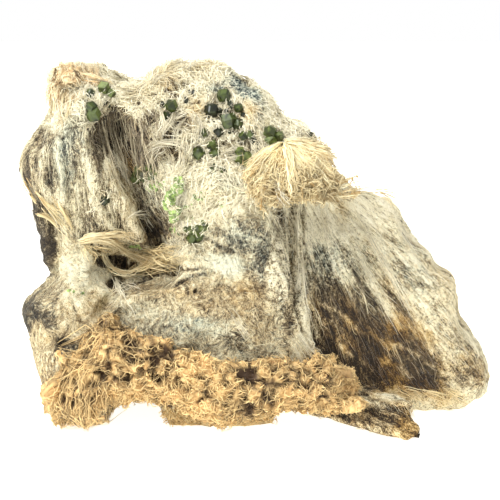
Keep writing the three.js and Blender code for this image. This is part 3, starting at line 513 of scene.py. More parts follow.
# %% Masks of the stains, painted highlights and painted shade
FIELDS = {  # pale, ochre, dark, blue
    "crown": (1.0, 0.08, 0.0, 0.07),
    "left_slab": (0.42, 0.15, 0.30, 0.20),
    "recess": (0.22, 0.32, 0.50, 0.0),
    "left_lobe": (0.42, 0.28, 0.16, 0.14),
    "middle_lobe": (0.26, 0.2, 0.14, 0.26),
    "right_slab": (0.60, 0.14, 0.06, 0.20),
    "tongue": (0.35, 0.40, 0.28, 0.1),
    "plank": (0.05, 0.10, 1.0, 0.15),
}
SPOTS = [  # x, y, half width, half height, turn in degrees, pale, ochre, dark, blue
    (206, 78, 10, 12, 0, 1.2, 0, 0.02, 0.25), (230, 77, 16, 9, 20, 0.35, 0, 0.46, 0.65), (216, 87, 12, 6, -15, 0.5, 0, 0.24, 0.6), (247, 91, 19, 7, 32, 0.5, 0, 0.2, 0.8),
    (262, 107, 12, 6, 30, 0.6, 0, 0.1, 0.35), (196, 74, 30, 12, 0, 1.2, 0.12, -0.1, 0.0), (196, 61, 20, 6, 0, 0.8, 0.5, 0, 0), (163, 80, 12, 12, 0, 0.8, 0.45, 0.05, 0), (192, 112, 9, 14, 20, 0.8, 0.5, 0.1, 0), (247, 110, 8, 10, 0, 0.8, 0.5, 0.05, 0), (230, 196, 30, 6, 0, 0.9, 0.35, 0, 0), (142, 95, 14, 11, 0, 0.55, 0.25, 0.22, 0.05), (232, 184, 20, 9, 0, 0.6, 0, 0.15, 0.35),
    (300, 178, 18, 20, 0, 0.6, 0.2, 0.25, 0), (188, 192, 16, 18, 0, 0.85, 0, 0.1, 0.1),
    (242, 237, 12, 12, 20, 0.35, 0, 0.46, 0.4), (263, 254, 11, 26, 14, 0.4, 0, 0.4, 0.34), (226, 262, 18, 8, 20, 0.7, 0.05, 0.05, 0.4),
    (248, 298, 20, 20, 20, 0.3, 0.5, 0.2, 0.05), (204, 298, 34, 18, 0, 0.26, 0.34, 0.14, 0.12), (176, 246, 26, 10, -12, 0.5, 0.15, 0.1, 0.2),
    (150, 292, 30, 10, 0, 0.25, 0.35, 0.3, 0.15), (236, 336, 16, 12, 30, 0.3, 0.25, 0.35, 0.25), (196, 326, 26, 10, 0, 0.35, 0.2, 0.15, 0.4),
    (262, 320, 18, 26, 10, 0.35, 0.35, 0.15, 0.2), (228, 206, 40, 9, 0, 0.85, 0.1, 0.05, 0.1),
    (88, 274, 28, 26, 20, 0.85, 0.12, 0.0, 0.25), (40, 312, 14, 18, 10, 0.2, 0.15, 0.62, 0.3), (60, 340, 15, 11, -20, 0.2, 0.1, 0.62, 0.2),
    (54, 292, 24, 16, 0, 0.34, 0.26, 0.22, 0.2), (94, 312, 18, 14, -30, 0.4, 0.35, 0.16, 0.1), (44, 340, 10, 20, 0, 0.42, 0.35, 0.15, 0),
    (72, 150, 14, 34, 5, 0.4, 0, 0.34, 0.45), (46, 182, 12, 30, -10, 0.3, 0.1, 0.5, 0.15), (84, 172, 11, 40, -6, 0.45, 0.12, 0.44, 0.2),
    (100, 196, 16, 26, -14, 0.55, 0.15, 0.28, 0.1), (28, 152, 9, 24, 15, 0.65, 0.2, 0.16, 0.05), (35, 176, 9, 26, -4, 0.35, 0.2, 0.42, 0.15), (62, 214, 18, 22, 0, 0.6, 0.15, 0.25, 0.1),
    (118, 134, 16, 22, -10, 0.2, 0.25, 0.55, 0), (140, 140, 8, 18, -6, 0.2, 0.3, 0.6, 0), (100, 148, 10, 16, 0, 0.3, 0.15, 0.55, 0),
    (128, 166, 11, 14, -10, 0.4, 0.6, 0.15, 0), (114, 176, 6, 20, -10, 0.4, 0.35, 0.3, 0), (130, 200, 12, 22, -14, 0.6, 0.35, 0.22, 0),
    # The darkest spots of these four lines lie in the gully and in the pits under the bands: painted shade.
    (152, 196, 15, 20, 0, 0.5, 0, 0.35, 0.25), (176, 200, 10, 24, 0, 0.8, 0, 0.1, 0), (146, 232, 14, 12, 20, 0.35, 0.35, 0.35, 0), (150, 229, 5, 20, -28, 0.1, 0.25, 1.0, 0),
    (152, 118, 9, 7, 0, 0.3, 0.1, 0.6, 0), (172, 142, 12, 14, 0, 0.2, 0.3, 0.7, 0), (182, 120, 9, 8, 20, 0.3, 0.1, 0.6, 0),
    (98, 257, 7, 5, 20, 0.1, 0.2, 0.85, 0), (124, 264, 11, 6, 20, 0.1, 0.3, 0.95, 0), (168, 262, 20, 9, 10, 0.75, 0.3, 0.12, 0), (150, 174, 12, 9, 0, 0.7, 0.1, 0.1, 0.1), (147, 272, 8, 4, 10, 0.1, 0.3, 0.8, 0),
    (113, 282, 6, 6, 30, 0.2, 0.3, 0.7, 0), (282, 215, 11, 15, 0, 0.3, 0.15, 0.5, 0.15), (274, 262, 6, 36, 8, 0.55, 0.15, 0.16, 0.1),
    (302, 340, 10, 30, 28, 0.85, 0.2, 0.05, 0), (292, 290, 6, 50, 6, 0.35, 0.3, 0.46, 0.15), (286, 250, 8, 40, 3, 0.5, 0.15, 0.26, 0.2), (300, 240, 4, 40, 2, 0.8, 0.1, 0.12, 0.1),
    # The very pale spot at 326, 224 is painted light: it lifts the shadow that the fan casts on the slab.
    (312, 274, 6, 36, 6, 0.4, 0.2, 0.3, 0.25), (326, 224, 18, 24, 20, 2.0, 0.0, -0.3, 0.12), (332, 262, 15, 22, 24, 0.45, 0.05, 0.36, 0.4), (330, 290, 17, 14, 30, 0.35, 0.15, 0.46, 0.2),
    (343, 210, 8, 13, 0, 0.2, 0.5, 0.4, 0), (372, 220, 28, 28, 30, 1.3, 0.12, -0.1, 0.06), (404, 250, 28, 40, 35, 0.55, 0.2, 0.12, 0.2), (420, 276, 18, 28, -25, 0.35, 0.2, 0.2, 0.3),
    (360, 268, 16, 24, 35, 0.5, 0.2, 0.3, 0.25), (352, 296, 26, 16, 40, 0.35, 0.3, 0.38, 0.2), (330, 314, 24, 20, 30, 0.2, 0.5, 0.56, 0),
    (372, 330, 46, 24, 38, 0.24, 0.34, 0.58, 0.14), (354, 356, 36, 26, 30, 0.1, 0.46, 0.74, 0), (384, 364, 10, 6, 30, 0.4, 0.8, 0.3, 0), (338, 330, 7, 9, 0, 0.5, 0.7, 0.25, 0), (414, 352, 42, 16, 35, 0.25, 0.42, 0.5, 0.1),
    (418, 382, 36, 13, 0, 0.12, 0.8, 0.46, 0), (346, 346, 9, 10, 0, 0.2, 0.7, 0.4, 0), (396, 326, 14, 9, 30, 0.3, 0.55, 0.35, 0.05),
    (428, 330, 16, 26, -30, 0.55, 0.3, 0.25, 0.2), (446, 372, 20, 12, 20, 0.2, 0.45, 0.55, 0), (414, 322, 50, 9, 50, 0.35, 0.42, 0.38, 0.14), (378, 394, 24, 5, 0, 0.7, 0.5, 0.1, 0),
    (448, 300, 14, 46, -20, 0.6, 0.25, 0.1, 0.14), (468, 366, 12, 20, 0, 0.5, 0.35, 0.25, 0.15), (446, 399, 36, 6, 0, 0.85, 0.5, 0, 0),
    (328, 340, 10, 30, 25, 0.15, 0.45, 0.6, 0), (413, 428, 12, 12, 0, 0.3, 2.2, 0.1, 0), (220, 418, 64, 12, 0, 1.0, 1.4, 0, 0), (404, 438, 14, 2.5, 12, 0.9, 1.2, -0.1, 0), (366, 404, 24, 4, 12, 0.9, 0.3, 0, 0.1), (343, 411, 8, 3, 25, 0, 0.2, 1.2, 0),
]
pale = 0.5 + 0.2 * cloud(spots_mm, 6.0, 31) + 0.15 * smooth(40, 70, z)
ochre = 0.22 + 0.25 * cloud(spots_mm, 9.0, 32) + 0.2 * smooth(30, 0, z)
dark = 0.12 + 0.2 * cloud(grain * (1.0, 0.3, 1.0), 4.0, 33, 4)
blue = 0.12 + 0.25 * cloud(spots_mm, 6.5, 34)
stains = np.clip(np.stack((pale, ochre, dark, blue), axis=1), 0, 1)
for name, values in FIELDS.items():
    share = region[name][:, None]
    stains = stains * (1 - share) + np.array(values) * share
for at_x, at_y, across, up, turn, *values in SPOTS:
    share = (spot(stain_px, stain_py, at_x, at_y, across, up, turn, 0.75) * facing)[:, None]
    stains = stains * (1 - share) + np.array(values) * share
# Painted shade: where the relief sinks into creases, pits and hollows, the dark mask grows.
sunk_shade = smooth(-0.3, -1.0, height) * 0.45
SPECKLED = [(242, 238, 16, 14, 20), (263, 254, 14, 30, 14), (232, 80, 34, 16, 20), (236, 336, 16, 12, 30), (334, 264, 17, 24, 24)]
speckled = np.max([spot(px, py, *at, 0.6) for at in SPECKLED], axis=0) * facing  # crumbs of dark serpentine
FOLDS = ("upper_fold", "lower_fold", "inner_fold", "left_lobe_seam")  # a pale rim over a dark line
# The holes in the felt are darkened too: partly the bare rock beneath, partly painted shade.
stains[:, 2] = np.clip(stains[:, 2] + sunk_shade * (1 - 0.7 * np.maximum(felt, speckled)) + 0.7 * gaps, 0, 1)
# Painted highlight: ridge crests are made paler.
stains[:, 0] = np.clip(stains[:, 0] + 0.3 * painted_crest_highlight * (1 - 0.5 * region["middle_lobe"]), 0, 1.4)
# Along each fold, the dark line in the crease is painted shade, and the pale rim above it is a painted highlight.
for name in FOLDS:
    across = off_line(CREASES[name][0], clean_px + 1.5 * cloud(spots_mm, 2.5, 35), clean_py)
    above = off_line(CREASES[name][0], clean_px + 1.5 * cloud(spots_mm, 2.5, 35), clean_py + 4.5)
    stains[:, 2] += 0.2 * facing * np.exp(-(across / 1.6) ** 2)
    stains[:, 0] += 0.45 * facing * np.exp(-(above / 1.8) ** 2)
# Painted highlight: ridge crests are made less dark as well.
stains[:, 2] = np.clip(stains[:, 2] - 0.25 * painted_crest_highlight, 0, 1)
streaks = cloud(grain * (1.0, 0.14, 0.6), 1.5, 36, 3) * slabs
stains[:, 2] = np.clip(stains[:, 2] + 0.34 * streaks * smooth(0.05, 0.35, stains[:, 2]), 0, 1)
stains[:, 1] = np.clip(stains[:, 1] + 0.3 * cloud(grain * (1.0, 0.3, 0.6), 2.6, 37, 2) * region["right_slab"] * smooth(0.1, 0.4, stains[:, 1]), 0, 1)
contrast = 1.0 + 0.25 * region["recess"] + 0.05 * region["right_slab"] - 0.3 * skin - 0.1 * felt
contrast += facing * (0.4 * spot(px, py, 236, 80, 30, 14, 30) + 0.4 * spot(px, py, 290, 260, 18, 60, 4) - 0.45 * spot(px, py, 392, 345, 60, 34, 38))
crumbly = 1.0 - 0.5 * region["right_slab"] - 0.3 * region["left_slab"] - 0.35 * skin - 0.3 * hidden + 0.9 * speckled
crumbly += 0.5 * facing * spot(px, py, 290, 260, 20, 70, 4, 0.4)
pale, ochre, dark, blue = stains.T
print("pale, ochre, dark, blue on average:", stains.mean(axis=0).round(2))

# %% Room for the crystals
CRYSTALS = sorted(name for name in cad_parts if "garnet" in name)
clearance = np.full(len(places), 1e3)
for name in CRYSTALS:
    corners = np.empty(len(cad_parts[name].data.vertices) * 3)
    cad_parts[name].data.vertices.foreach_get("co", corners)
    for corner in corners.reshape(-1, 3)[::3]:
        clearance = np.minimum(clearance, np.linalg.norm(places - corner, axis=1) / MM)
bare = smooth(0.0, 0.45, clearance)
low = smooth(0.4, 1.5, z)
clumps = smooth(-0.5, 0.35, cloud(spots_mm, 1.5, 51))
TUFTS = [  # x, y, half width, half height, turn: where longer fibre stands out of the felt
    (60, 96, 9, 26, 0), (196, 130, 12, 22, 20), (160, 125, 12, 8, 0), (150, 150, 10, 10, 0), (226, 150, 16, 8, -10),
    (214, 172, 30, 7, 10), (195, 68, 26, 6, 0), (140, 92, 16, 10, 0), (250, 118, 10, 8, 30), (282, 116, 16, 8, 30),
    (268, 205, 8, 12, 20), (160, 74, 14, 8, 0), (246, 190, 12, 8, 0), (112, 74, 10, 6, 0), (184, 165, 8, 12, 0),
]
tufts = np.zeros(len(places))
for at_x, at_y, across, up, turn in TUFTS:
    tufts += 0.55 * spot(px, py, at_x, at_y, across, up, turn, 0.5) * facing
GRAIN_SPOTS = {  # x, y, half width, half height: where small grains sit
    "garnet_hair": [(230, 131, 3, 2), (237, 137, 3, 2), (230, 104, 2, 2), (194, 92, 3, 2), (263, 113, 3, 2), (212, 119, 3, 2), (170, 113, 4, 6),
                    (222, 112, 6, 3), (244, 116, 3, 3), (216, 146, 5, 2), (208, 122, 3, 3), (232, 146, 2, 4), (200, 136, 3, 4), (186, 100, 4, 2),
                    (112, 89, 2, 4), (100, 98, 5, 2), (108, 104, 2, 3), (256, 140, 3, 3), (226, 157, 5, 2), (314, 138, 2, 4), (164, 104, 3, 2)],
    "lime_hair": [(188, 207, 5, 3), (190, 219, 3, 4), (219, 204, 3, 2), (200, 196, 8, 4), (162, 186, 5, 4), (72, 293, 3, 2), (80, 295, 2, 1.5),
                  (176, 230, 4, 3), (152, 186, 8, 3), (135, 247, 5, 2)],
    "green_hair": [(147, 172, 10, 6), (196, 231, 8, 4), (138, 177, 5, 4), (206, 226, 4, 3)],
}
grain_masks = {}
for name, spots in GRAIN_SPOTS.items():
    grain_masks[name] = facing * np.max([spot(clean_px, clean_py, *at, 0, 0.3) for at in spots], axis=0)
foot = facing * spot(clean_px, clean_py, 220, 418, 62, 12, 0, 0.3) * smooth(0.3, 1.0, z)
write_values(
    rock, pale=pale, ochre=ochre, dark=dark, blue=blue, grain=grain, lie=lie, contrast=contrast, crumbly=crumbly,
    felt_hair=felt * bare * (1 - 0.9 * smooth(0.2, 0.55, blue)) * (1 - 0.6 * np.clip(dark, 0, 1)) * (0.35 + 0.65 * clumps) * (1 - 0.9 * gaps),
    tuft_hair=np.clip(tufts, 0, 1) * (0.3 + 0.7 * bare),
    ring_hair=smooth(0.0, 0.25, clearance) * smooth(1.8, 0.8, clearance) * facing * (0.25 + 0.75 * clumps),
    slab_hair=slabs * bare * low * (1 - 0.45 * dark) * (1 - region["plank"]),
    skin_hair=skin * bare * low * (1 - 0.5 * dark),
    skyline_hair=smooth(0.45, 0.2, np.abs(normals @ np.array(towards_eye))) * smooth(50, 58, z) * bare,
    foot_hair=foot, back_hair=hidden * low, **grain_masks)
print("crystals:", len(CRYSTALS))

# %% [markdown]
# ## A coat of fibres
#
# Each fibre is a thin three-sided tube. Hand-placing thousands is hopeless, and Blender's hair isn't
# a mesh, so a tree of geometry nodes grows them: it scatters roots where a mask allows, stands a
# short line on each, lays it along the grain, pulls it down on the surface, bends it with noise, and
# gives it thickness. Fibres near each other bend alike, which makes them look combed.

# %% The tree that grows a coat


def coat_tree():
    """Scatters fibres on a surface. All its sizes are inputs."""
    tree = bpy.data.node_groups.new("coat_of_fibres", "GeometryNodeTree")
    face = tree.interface
    face.new_socket("Geometry", in_out="OUTPUT", socket_type="NodeSocketGeometry")
    face.new_socket("Geometry", in_out="INPUT", socket_type="NodeSocketGeometry")
    face.new_socket("Where", in_out="INPUT", socket_type="NodeSocketString")
    for name in ("Per m2", "Length", "Thickness", "Arch", "Tip lift", "Stray", "Bend", "Bend size", "Own way", "Cling"):
        face.new_socket(name, in_out="INPUT", socket_type="NodeSocketFloat")
    face.new_socket("Joints", in_out="INPUT", socket_type="NodeSocketInt")
    face.new_socket("Seed", in_out="INPUT", socket_type="NodeSocketInt")
    face.new_socket("Material", in_out="INPUT", socket_type="NodeSocketMaterial")
    given = add_node(tree, "NodeGroupInput").outputs
    mask = add_node(tree, "GeometryNodeInputNamedAttribute", {"data_type": "FLOAT"}, {"Name": given["Where"]})
    density = add_node(tree, "ShaderNodeMath", {"operation": "MULTIPLY"}, {0: mask.outputs["Attribute"], 1: given["Per m2"]})
    roots = add_node(tree, "GeometryNodeDistributePointsOnFaces", {"distribute_method": "RANDOM"}, {
        "Mesh": given["Geometry"], "Density": density.outputs[0], "Seed": given["Seed"]})
    chance = add_node(tree, "FunctionNodeRandomValue", {"data_type": "FLOAT"}, {"Seed": given["Seed"]})
    shaded = add_node(tree, "GeometryNodeStoreNamedAttribute", {"data_type": "FLOAT", "domain": "POINT"}, {
        "Geometry": roots.outputs["Points"], "Name": "shade", "Value": chance.outputs[1]})
    lie_at = add_node(tree, "GeometryNodeInputNamedAttribute", {"data_type": "FLOAT_VECTOR"}, {"Name": "lie"})
    stray = add_node(tree, "FunctionNodeRandomValue", {"data_type": "FLOAT_VECTOR"}, {
        0: (-1.0, -1.0, -1.0), 1: (1.0, 1.0, 1.0), "Seed": 7})
    strayed = add_node(tree, "ShaderNodeVectorMath", {"operation": "SCALE"}, {0: stray.outputs[0], "Scale": given["Stray"]})
    heading = add_node(tree, "ShaderNodeVectorMath", {"operation": "ADD"}, {0: lie_at.outputs["Attribute"], 1: strayed.outputs[0]})
    turn = add_node(tree, "FunctionNodeAlignRotationToVector", {"axis": "Z"}, {"Vector": heading.outputs[0]})
    uneven = add_node(tree, "FunctionNodeRandomValue", {"data_type": "FLOAT"}, {2: 0.45, 3: 1.4, "Seed": 3})
    length = add_node(tree, "ShaderNodeMath", {"operation": "MULTIPLY"}, {0: uneven.outputs[1], 1: given["Length"]})
    line = add_node(tree, "GeometryNodeCurvePrimitiveLine", None, {"End": (0.0, 0.0, 1.0)})
    jointed = add_node(tree, "GeometryNodeResampleCurve", None, {"Curve": line.outputs[0], "Count": given["Joints"]})
    stood = add_node(tree, "GeometryNodeInstanceOnPoints", None, {
        "Points": shaded.outputs[0], "Instance": jointed.outputs[0], "Rotation": turn.outputs[0], "Scale": length.outputs[0]})
    real = add_node(tree, "GeometryNodeRealizeInstances", None, {"Geometry": stood.outputs[0]})
    along = add_node(tree, "GeometryNodeSplineParameter")
    place = add_node(tree, "GeometryNodeInputPosition")
    shade = add_node(tree, "GeometryNodeInputNamedAttribute", {"data_type": "FLOAT"}, {"Name": "shade"})
    own = add_node(tree, "ShaderNodeMath", {"operation": "MULTIPLY"}, {0: shade.outputs["Attribute"], 1: given["Own way"]})
    ripple = add_node(tree, "ShaderNodeTexNoise", {"noise_dimensions": "4D"}, {
        "Vector": place.outputs[0], "W": own.outputs[0], "Scale": given["Bend size"], "Detail": 1.0})
    centred = add_node(tree, "ShaderNodeVectorMath", {"operation": "SUBTRACT"}, {0: ripple.outputs["Color"], 1: (0.5, 0.5, 0.5)})
    reach = add_node(tree, "ShaderNodeMath", {"operation": "MULTIPLY"}, {0: along.outputs["Factor"], 1: given["Bend"]})
    bent = add_node(tree, "ShaderNodeVectorMath", {"operation": "SCALE"}, {0: centred.outputs[0], "Scale": reach.outputs[0]})
    loose = add_node(tree, "ShaderNodeVectorMath", {"operation": "ADD"}, {0: place.outputs[0], 1: bent.outputs[0]})
    nearest = add_node(tree, "GeometryNodeProximity", {"target_element": "FACES"}, {0: given["Geometry"], "Sample Position": loose.outputs[0]})
    normal = add_node(tree, "GeometryNodeInputNormal")
    outward = add_node(tree, "GeometryNodeSampleNearestSurface", {"data_type": "FLOAT_VECTOR"}, {
        "Mesh": given["Geometry"], "Value": normal.outputs[0], "Sample Position": loose.outputs[0]})
    rest = add_node(tree, "ShaderNodeMath", {"operation": "SUBTRACT"}, {0: 1.0, 1: along.outputs["Factor"]})
    hump = add_node(tree, "ShaderNodeMath", {"operation": "MULTIPLY"}, {0: rest.outputs[0], 1: along.outputs["Factor"]})
    arch = add_node(tree, "ShaderNodeMath", {"operation": "MULTIPLY"}, {0: hump.outputs[0], 1: given["Arch"]})
    lifted = add_node(tree, "ShaderNodeMath", {"operation": "MULTIPLY_ADD"}, {
        0: along.outputs["Factor"], 1: given["Tip lift"], 2: arch.outputs[0]})
    shared = add_node(tree, "ShaderNodeMath", {"operation": "MULTIPLY_ADD"}, {
        0: lifted.outputs[0], 1: shade.outputs["Attribute"], 2: given["Thickness"]})
    pushed = add_node(tree, "ShaderNodeVectorMath", {"operation": "SCALE"}, {0: outward.outputs[0], "Scale": shared.outputs[0]})
    clung = add_node(tree, "ShaderNodeVectorMath", {"operation": "ADD"}, {0: nearest.outputs["Position"], 1: pushed.outputs[0]})
    final = add_node(tree, "ShaderNodeMix", {"data_type": "VECTOR"}, {
        "Factor": given["Cling"], 4: loose.outputs[0], 5: clung.outputs[0]})
    laid = add_node(tree, "GeometryNodeSetPosition", None, {"Geometry": real.outputs[0], "Position": final.outputs[1]})
    marked = add_node(tree, "GeometryNodeStoreNamedAttribute", {"data_type": "FLOAT", "domain": "POINT"}, {
        "Geometry": laid.outputs[0], "Name": "along", "Value": along.outputs["Factor"]})
    square = add_node(tree, "ShaderNodeMath", {"operation": "POWER"}, {0: along.outputs["Factor"], 1: 2.0})
    taper = add_node(tree, "ShaderNodeMath", {"operation": "MULTIPLY_ADD"}, {0: square.outputs[0], 1: -0.7, 2: 1.0})
    stout = add_node(tree, "ShaderNodeMath", {"operation": "MULTIPLY_ADD"}, {0: shade.outputs["Attribute"], 1: 0.7, 2: 0.6})
    girth = add_node(tree, "ShaderNodeMath", {"operation": "MULTIPLY"}, {0: taper.outputs[0], 1: stout.outputs[0]})
    radius = add_node(tree, "ShaderNodeMath", {"operation": "MULTIPLY"}, {0: girth.outputs[0], 1: given["Thickness"]})
    ring = add_node(tree, "GeometryNodeCurvePrimitiveCircle", {"mode": "RADIUS"}, {"Resolution": 3, "Radius": 1.0})
    tubes = add_node(tree, "GeometryNodeCurveToMesh", None, {
        "Curve": marked.outputs[0], "Profile Curve": ring.outputs[0], "Scale": radius.outputs[0], "Fill Caps": True})
    whole = add_node(tree, "GeometryNodeRealizeInstances", None, {"Geometry": tubes.outputs[0]})
    finished = add_node(tree, "GeometryNodeSetMaterial", None, {"Geometry": whole.outputs[0], "Material": given["Material"]})
    add_node(tree, "NodeGroupOutput", None, {0: finished.outputs[0]})
    return tree


COAT = coat_tree()


def grow(name, surface, tree=COAT, **sizes):
    """Grows a coat of fibres on a surface, as a plain mesh of its own."""
    coat = bpy.data.objects.new(name, surface.data.copy())
    bpy.context.scene.collection.objects.link(coat)
    coat.data.materials.clear()
    modifier = coat.modifiers.new("fibres", "NODES")
    modifier.node_group = tree
    for item in tree.interface.items_tree:
        if item.in_out == "INPUT" and item.name in sizes:
            modifier[item.identifier] = sizes[item.name]
    bake(coat)
    print(name, sum(len(face.vertices) - 2 for face in coat.data.polygons), "triangles")
    return coat


# %% [markdown]
# ## Finish of the stone and its fibres
#
# Serpentine with chrysotile is dull and slightly silky. The rock's colour follows the four masks,
# then fine streaks along the grain break it up. The fibres use the same masks, taken from the place
# of their roots, so stains, painted highlights and painted shade run through stone and fibre alike.

# %% Chrysotile-clad serpentine, weathered
CLEAN_STOPS = [(0.0, "#261e13"), (0.25, "#63563f"), (0.45, "#a09273"), (0.62, "#ccc09c"), (0.8, "#ebe2be"), (1.0, "#faf3d8")]
RUST_STOPS = [(0.0, "#21160a"), (0.25, "#584020"), (0.45, "#8f6d38"), (0.65, "#bd9a5c"), (0.85, "#e0c68c"), (1.0, "#f1deac")]
BLUE_STOPS = [(0.0, "#1c2629"), (0.25, "#45524f"), (0.45, "#7b857a"), (0.65, "#a9b19d"), (0.85, "#d3d6c0"), (1.0, "#e9e8d2")]


def broken(tree, name, scales, low, high, weight=1.0):
    """A mask whose edge is ragged along the grain: noise is added to it, and the sum is cut off."""
    amount = add_node(tree, "ShaderNodeAttribute", {"attribute_name": name})
    grain_place = add_node(tree, "ShaderNodeAttribute", {"attribute_name": "grain"})
    stretched = add_node(tree, "ShaderNodeVectorMath", {"operation": "MULTIPLY"}, {0: grain_place.outputs["Vector"], 1: scales})
    ragged = add_node(tree, "ShaderNodeTexNoise", None, {
        "Vector": stretched.outputs[0], "Scale": 1.0, "Detail": 6.0, "Roughness": 0.75, "Distortion": 0.3})
    raised = add_node(tree, "ShaderNodeMath", {"operation": "MULTIPLY_ADD"}, {
        0: amount.outputs["Fac"], 1: weight, 2: ragged.outputs["Fac"]})
    return add_node(tree, "ShaderNodeMapRange", None, {"Value": raised.outputs[0], "From Min": low, "From Max": high}).outputs[0]


def stained(tree, tone):
    """Turns a tone from 0 to 1 into a colour. The masks say which of the three ramps it is read from."""
    ochre_share = broken(tree, "ochre", (1.3, 0.6, 0.9), 0.62, 1.15)
    blue_share = broken(tree, "blue", (1.5, 0.8, 1.0), 0.68, 1.1)
    clean = add_node(tree, "ShaderNodeValToRGB", None, {"Fac": tone}, CLEAN_STOPS)
    rust = add_node(tree, "ShaderNodeValToRGB", None, {"Fac": tone}, RUST_STOPS)
    green = add_node(tree, "ShaderNodeValToRGB", None, {"Fac": tone}, BLUE_STOPS)
    rusted = add_node(tree, "ShaderNodeMix", {"data_type": "RGBA"}, {0: ochre_share, 6: clean.outputs[0], 7: rust.outputs[0]})
    return add_node(tree, "ShaderNodeMix", {"data_type": "RGBA"}, {
        0: blue_share, 6: rusted.outputs[2], 7: green.outputs[0]}).outputs[2]


def start_tone(tree):
    """The tone before any grain: light where the stone is pale, low in the flecks where it is dark."""
    light = add_node(tree, "ShaderNodeAttribute", {"attribute_name": "pale"})
    lit = add_node(tree, "ShaderNodeMath", {"operation": "MULTIPLY_ADD"}, {0: light.outputs["Fac"], 1: 0.16, 2: 0.45}).outputs[0]
    wisps = broken(tree, "pale", (1.5, 0.45, 0.8), 0.62, 1.15)
    lit = add_node(tree, "ShaderNodeMath", {"operation": "MULTIPLY_ADD"}, {0: wisps, 1: 0.24, 2: lit}).outputs[0]
    flecks = broken(tree, "dark", (2.4, 0.6, 1.2), 0.6, 0.9, 0.8)
    return add_node(tree, "ShaderNodeMath", {"operation": "MULTIPLY_ADD"}, {0: flecks, 1: -0.45, 2: lit}).outputs[0]


weathered, tree, output = new_material("chrysotile_clad_serpentine")
place = add_node(tree, "ShaderNodeTexCoord")
grain_at = add_node(tree, "ShaderNodeAttribute", {"attribute_name": "grain"})
first_tone = start_tone(tree)
tone = 0.0
GRAIN_LAYERS = [  # scale across and along the grain per mm, detail, share of the tone
    ((2.6, 0.5, 0.9), 6.0, 1.35),
    ((0.6, 0.12, 0.3), 3.0, 0.9),
    ((1.2, 0.1, 0.5), 4.0, 0.7),
]
heights = []
for scales, detail, share in GRAIN_LAYERS:
    stretched = add_node(tree, "ShaderNodeVectorMath", {"operation": "MULTIPLY"}, {0: grain_at.outputs["Vector"], 1: scales})
    layer = add_node(tree, "ShaderNodeTexNoise", None, {
        "Vector": stretched.outputs[0], "Scale": 1.0, "Detail": detail, "Roughness": 0.7, "Distortion": 0.4})
    centred = add_node(tree, "ShaderNodeMath", {"operation": "SUBTRACT"}, {0: layer.outputs["Fac"], 1: 0.5})
    tone = add_node(tree, "ShaderNodeMath", {"operation": "MULTIPLY_ADD"}, {0: centred.outputs[0], 1: share, 2: tone}).outputs[0]
    heights.append(layer.outputs["Fac"])
crumbs_at = add_node(tree, "ShaderNodeAttribute", {"attribute_name": "crumbly"})
specks = 0.0
for scale, detail, share in ((3400.0, 2.0, 1.0), (1500.0, 4.0, 1.8), (430.0, 2.0, 0.4)):  # specks, flecks, blotches
    layer = add_node(tree, "ShaderNodeTexNoise", None, {
        "Vector": place.outputs["Object"], "Scale": scale, "Detail": detail, "Roughness": 0.75})
    centred = add_node(tree, "ShaderNodeMath", {"operation": "SUBTRACT"}, {0: layer.outputs["Fac"], 1: 0.5})
    specks = add_node(tree, "ShaderNodeMath", {"operation": "MULTIPLY_ADD"}, {0: centred.outputs[0], 1: share, 2: specks}).outputs[0]
    heights.append(layer.outputs["Fac"])
tone = add_node(tree, "ShaderNodeMath", {"operation": "MULTIPLY_ADD"}, {0: specks, 1: crumbs_at.outputs["Fac"], 2: tone}).outputs[0]
THREADS = [  # scale across and along the grain, shift, share of the tone: pale fibres, then dark cracks
    ((1.0, 0.35, 0.5), 0.0, 0.28), ((0.55, 0.9, 0.6), 3.0, 0.2), ((1.5, 0.4, 0.8), 7.0, 0.24),
    ((1.1, 0.14, 0.5), 11.0, -0.42), ((1.9, 0.3, 0.8), 15.0, -0.32), ((0.8, 0.6, 0.7), 19.0, -0.24),
]
for scales, shift, share in THREADS:
    stretched = add_node(tree, "ShaderNodeVectorMath", {"operation": "MULTIPLY"}, {0: grain_at.outputs["Vector"], 1: scales})
    layer = add_node(tree, "ShaderNodeTexNoise", {"noise_dimensions": "4D"}, {
        "Vector": stretched.outputs[0], "Scale": 1.3, "W": shift, "Detail": 3.0, "Roughness": 0.6, "Distortion": 1.2})
    centred = add_node(tree, "ShaderNodeMath", {"operation": "SUBTRACT"}, {0: layer.outputs["Fac"], 1: 0.5})
    off = add_node(tree, "ShaderNodeMath", {"operation": "ABSOLUTE"}, {0: centred.outputs[0]})
    thread = add_node(tree, "ShaderNodeMapRange", None, {"Value": off.outputs[0], "From Min": 0.0, "From Max": 0.022, "To Min": share, "To Max": 0.0})
    tone = add_node(tree, "ShaderNodeMath", {"operation": "ADD"}, {0: tone, 1: thread.outputs[0]}).outputs[0]
    heights.append(thread.outputs[0])
vigour = add_node(tree, "ShaderNodeAttribute", {"attribute_name": "contrast"})
tone = add_node(tree, "ShaderNodeMath", {"operation": "MULTIPLY_ADD"}, {0: tone, 1: vigour.outputs["Fac"], 2: first_tone}).outputs[0]
base = stained(tree, tone)
total = heights[0]
for height_output in heights[1:]:
    total = add_node(tree, "ShaderNodeMath", {"operation": "ADD"}, {0: total, 1: height_output}).outputs[0]
bump = add_node(tree, "ShaderNodeBump", None, {"Height": total, "Strength": 0.75, "Distance": 0.45 * MM})
shader = add_node(tree, "ShaderNodeBsdfPrincipled", None, {
    "Base Color": base, "Roughness": 0.82, "IOR": 1.55, "Specular IOR Level": 0.35, "Normal": bump.outputs[0]})
tree.links.new(shader.outputs[0], output.inputs["Surface"])
rock.data.materials.append(weathered)

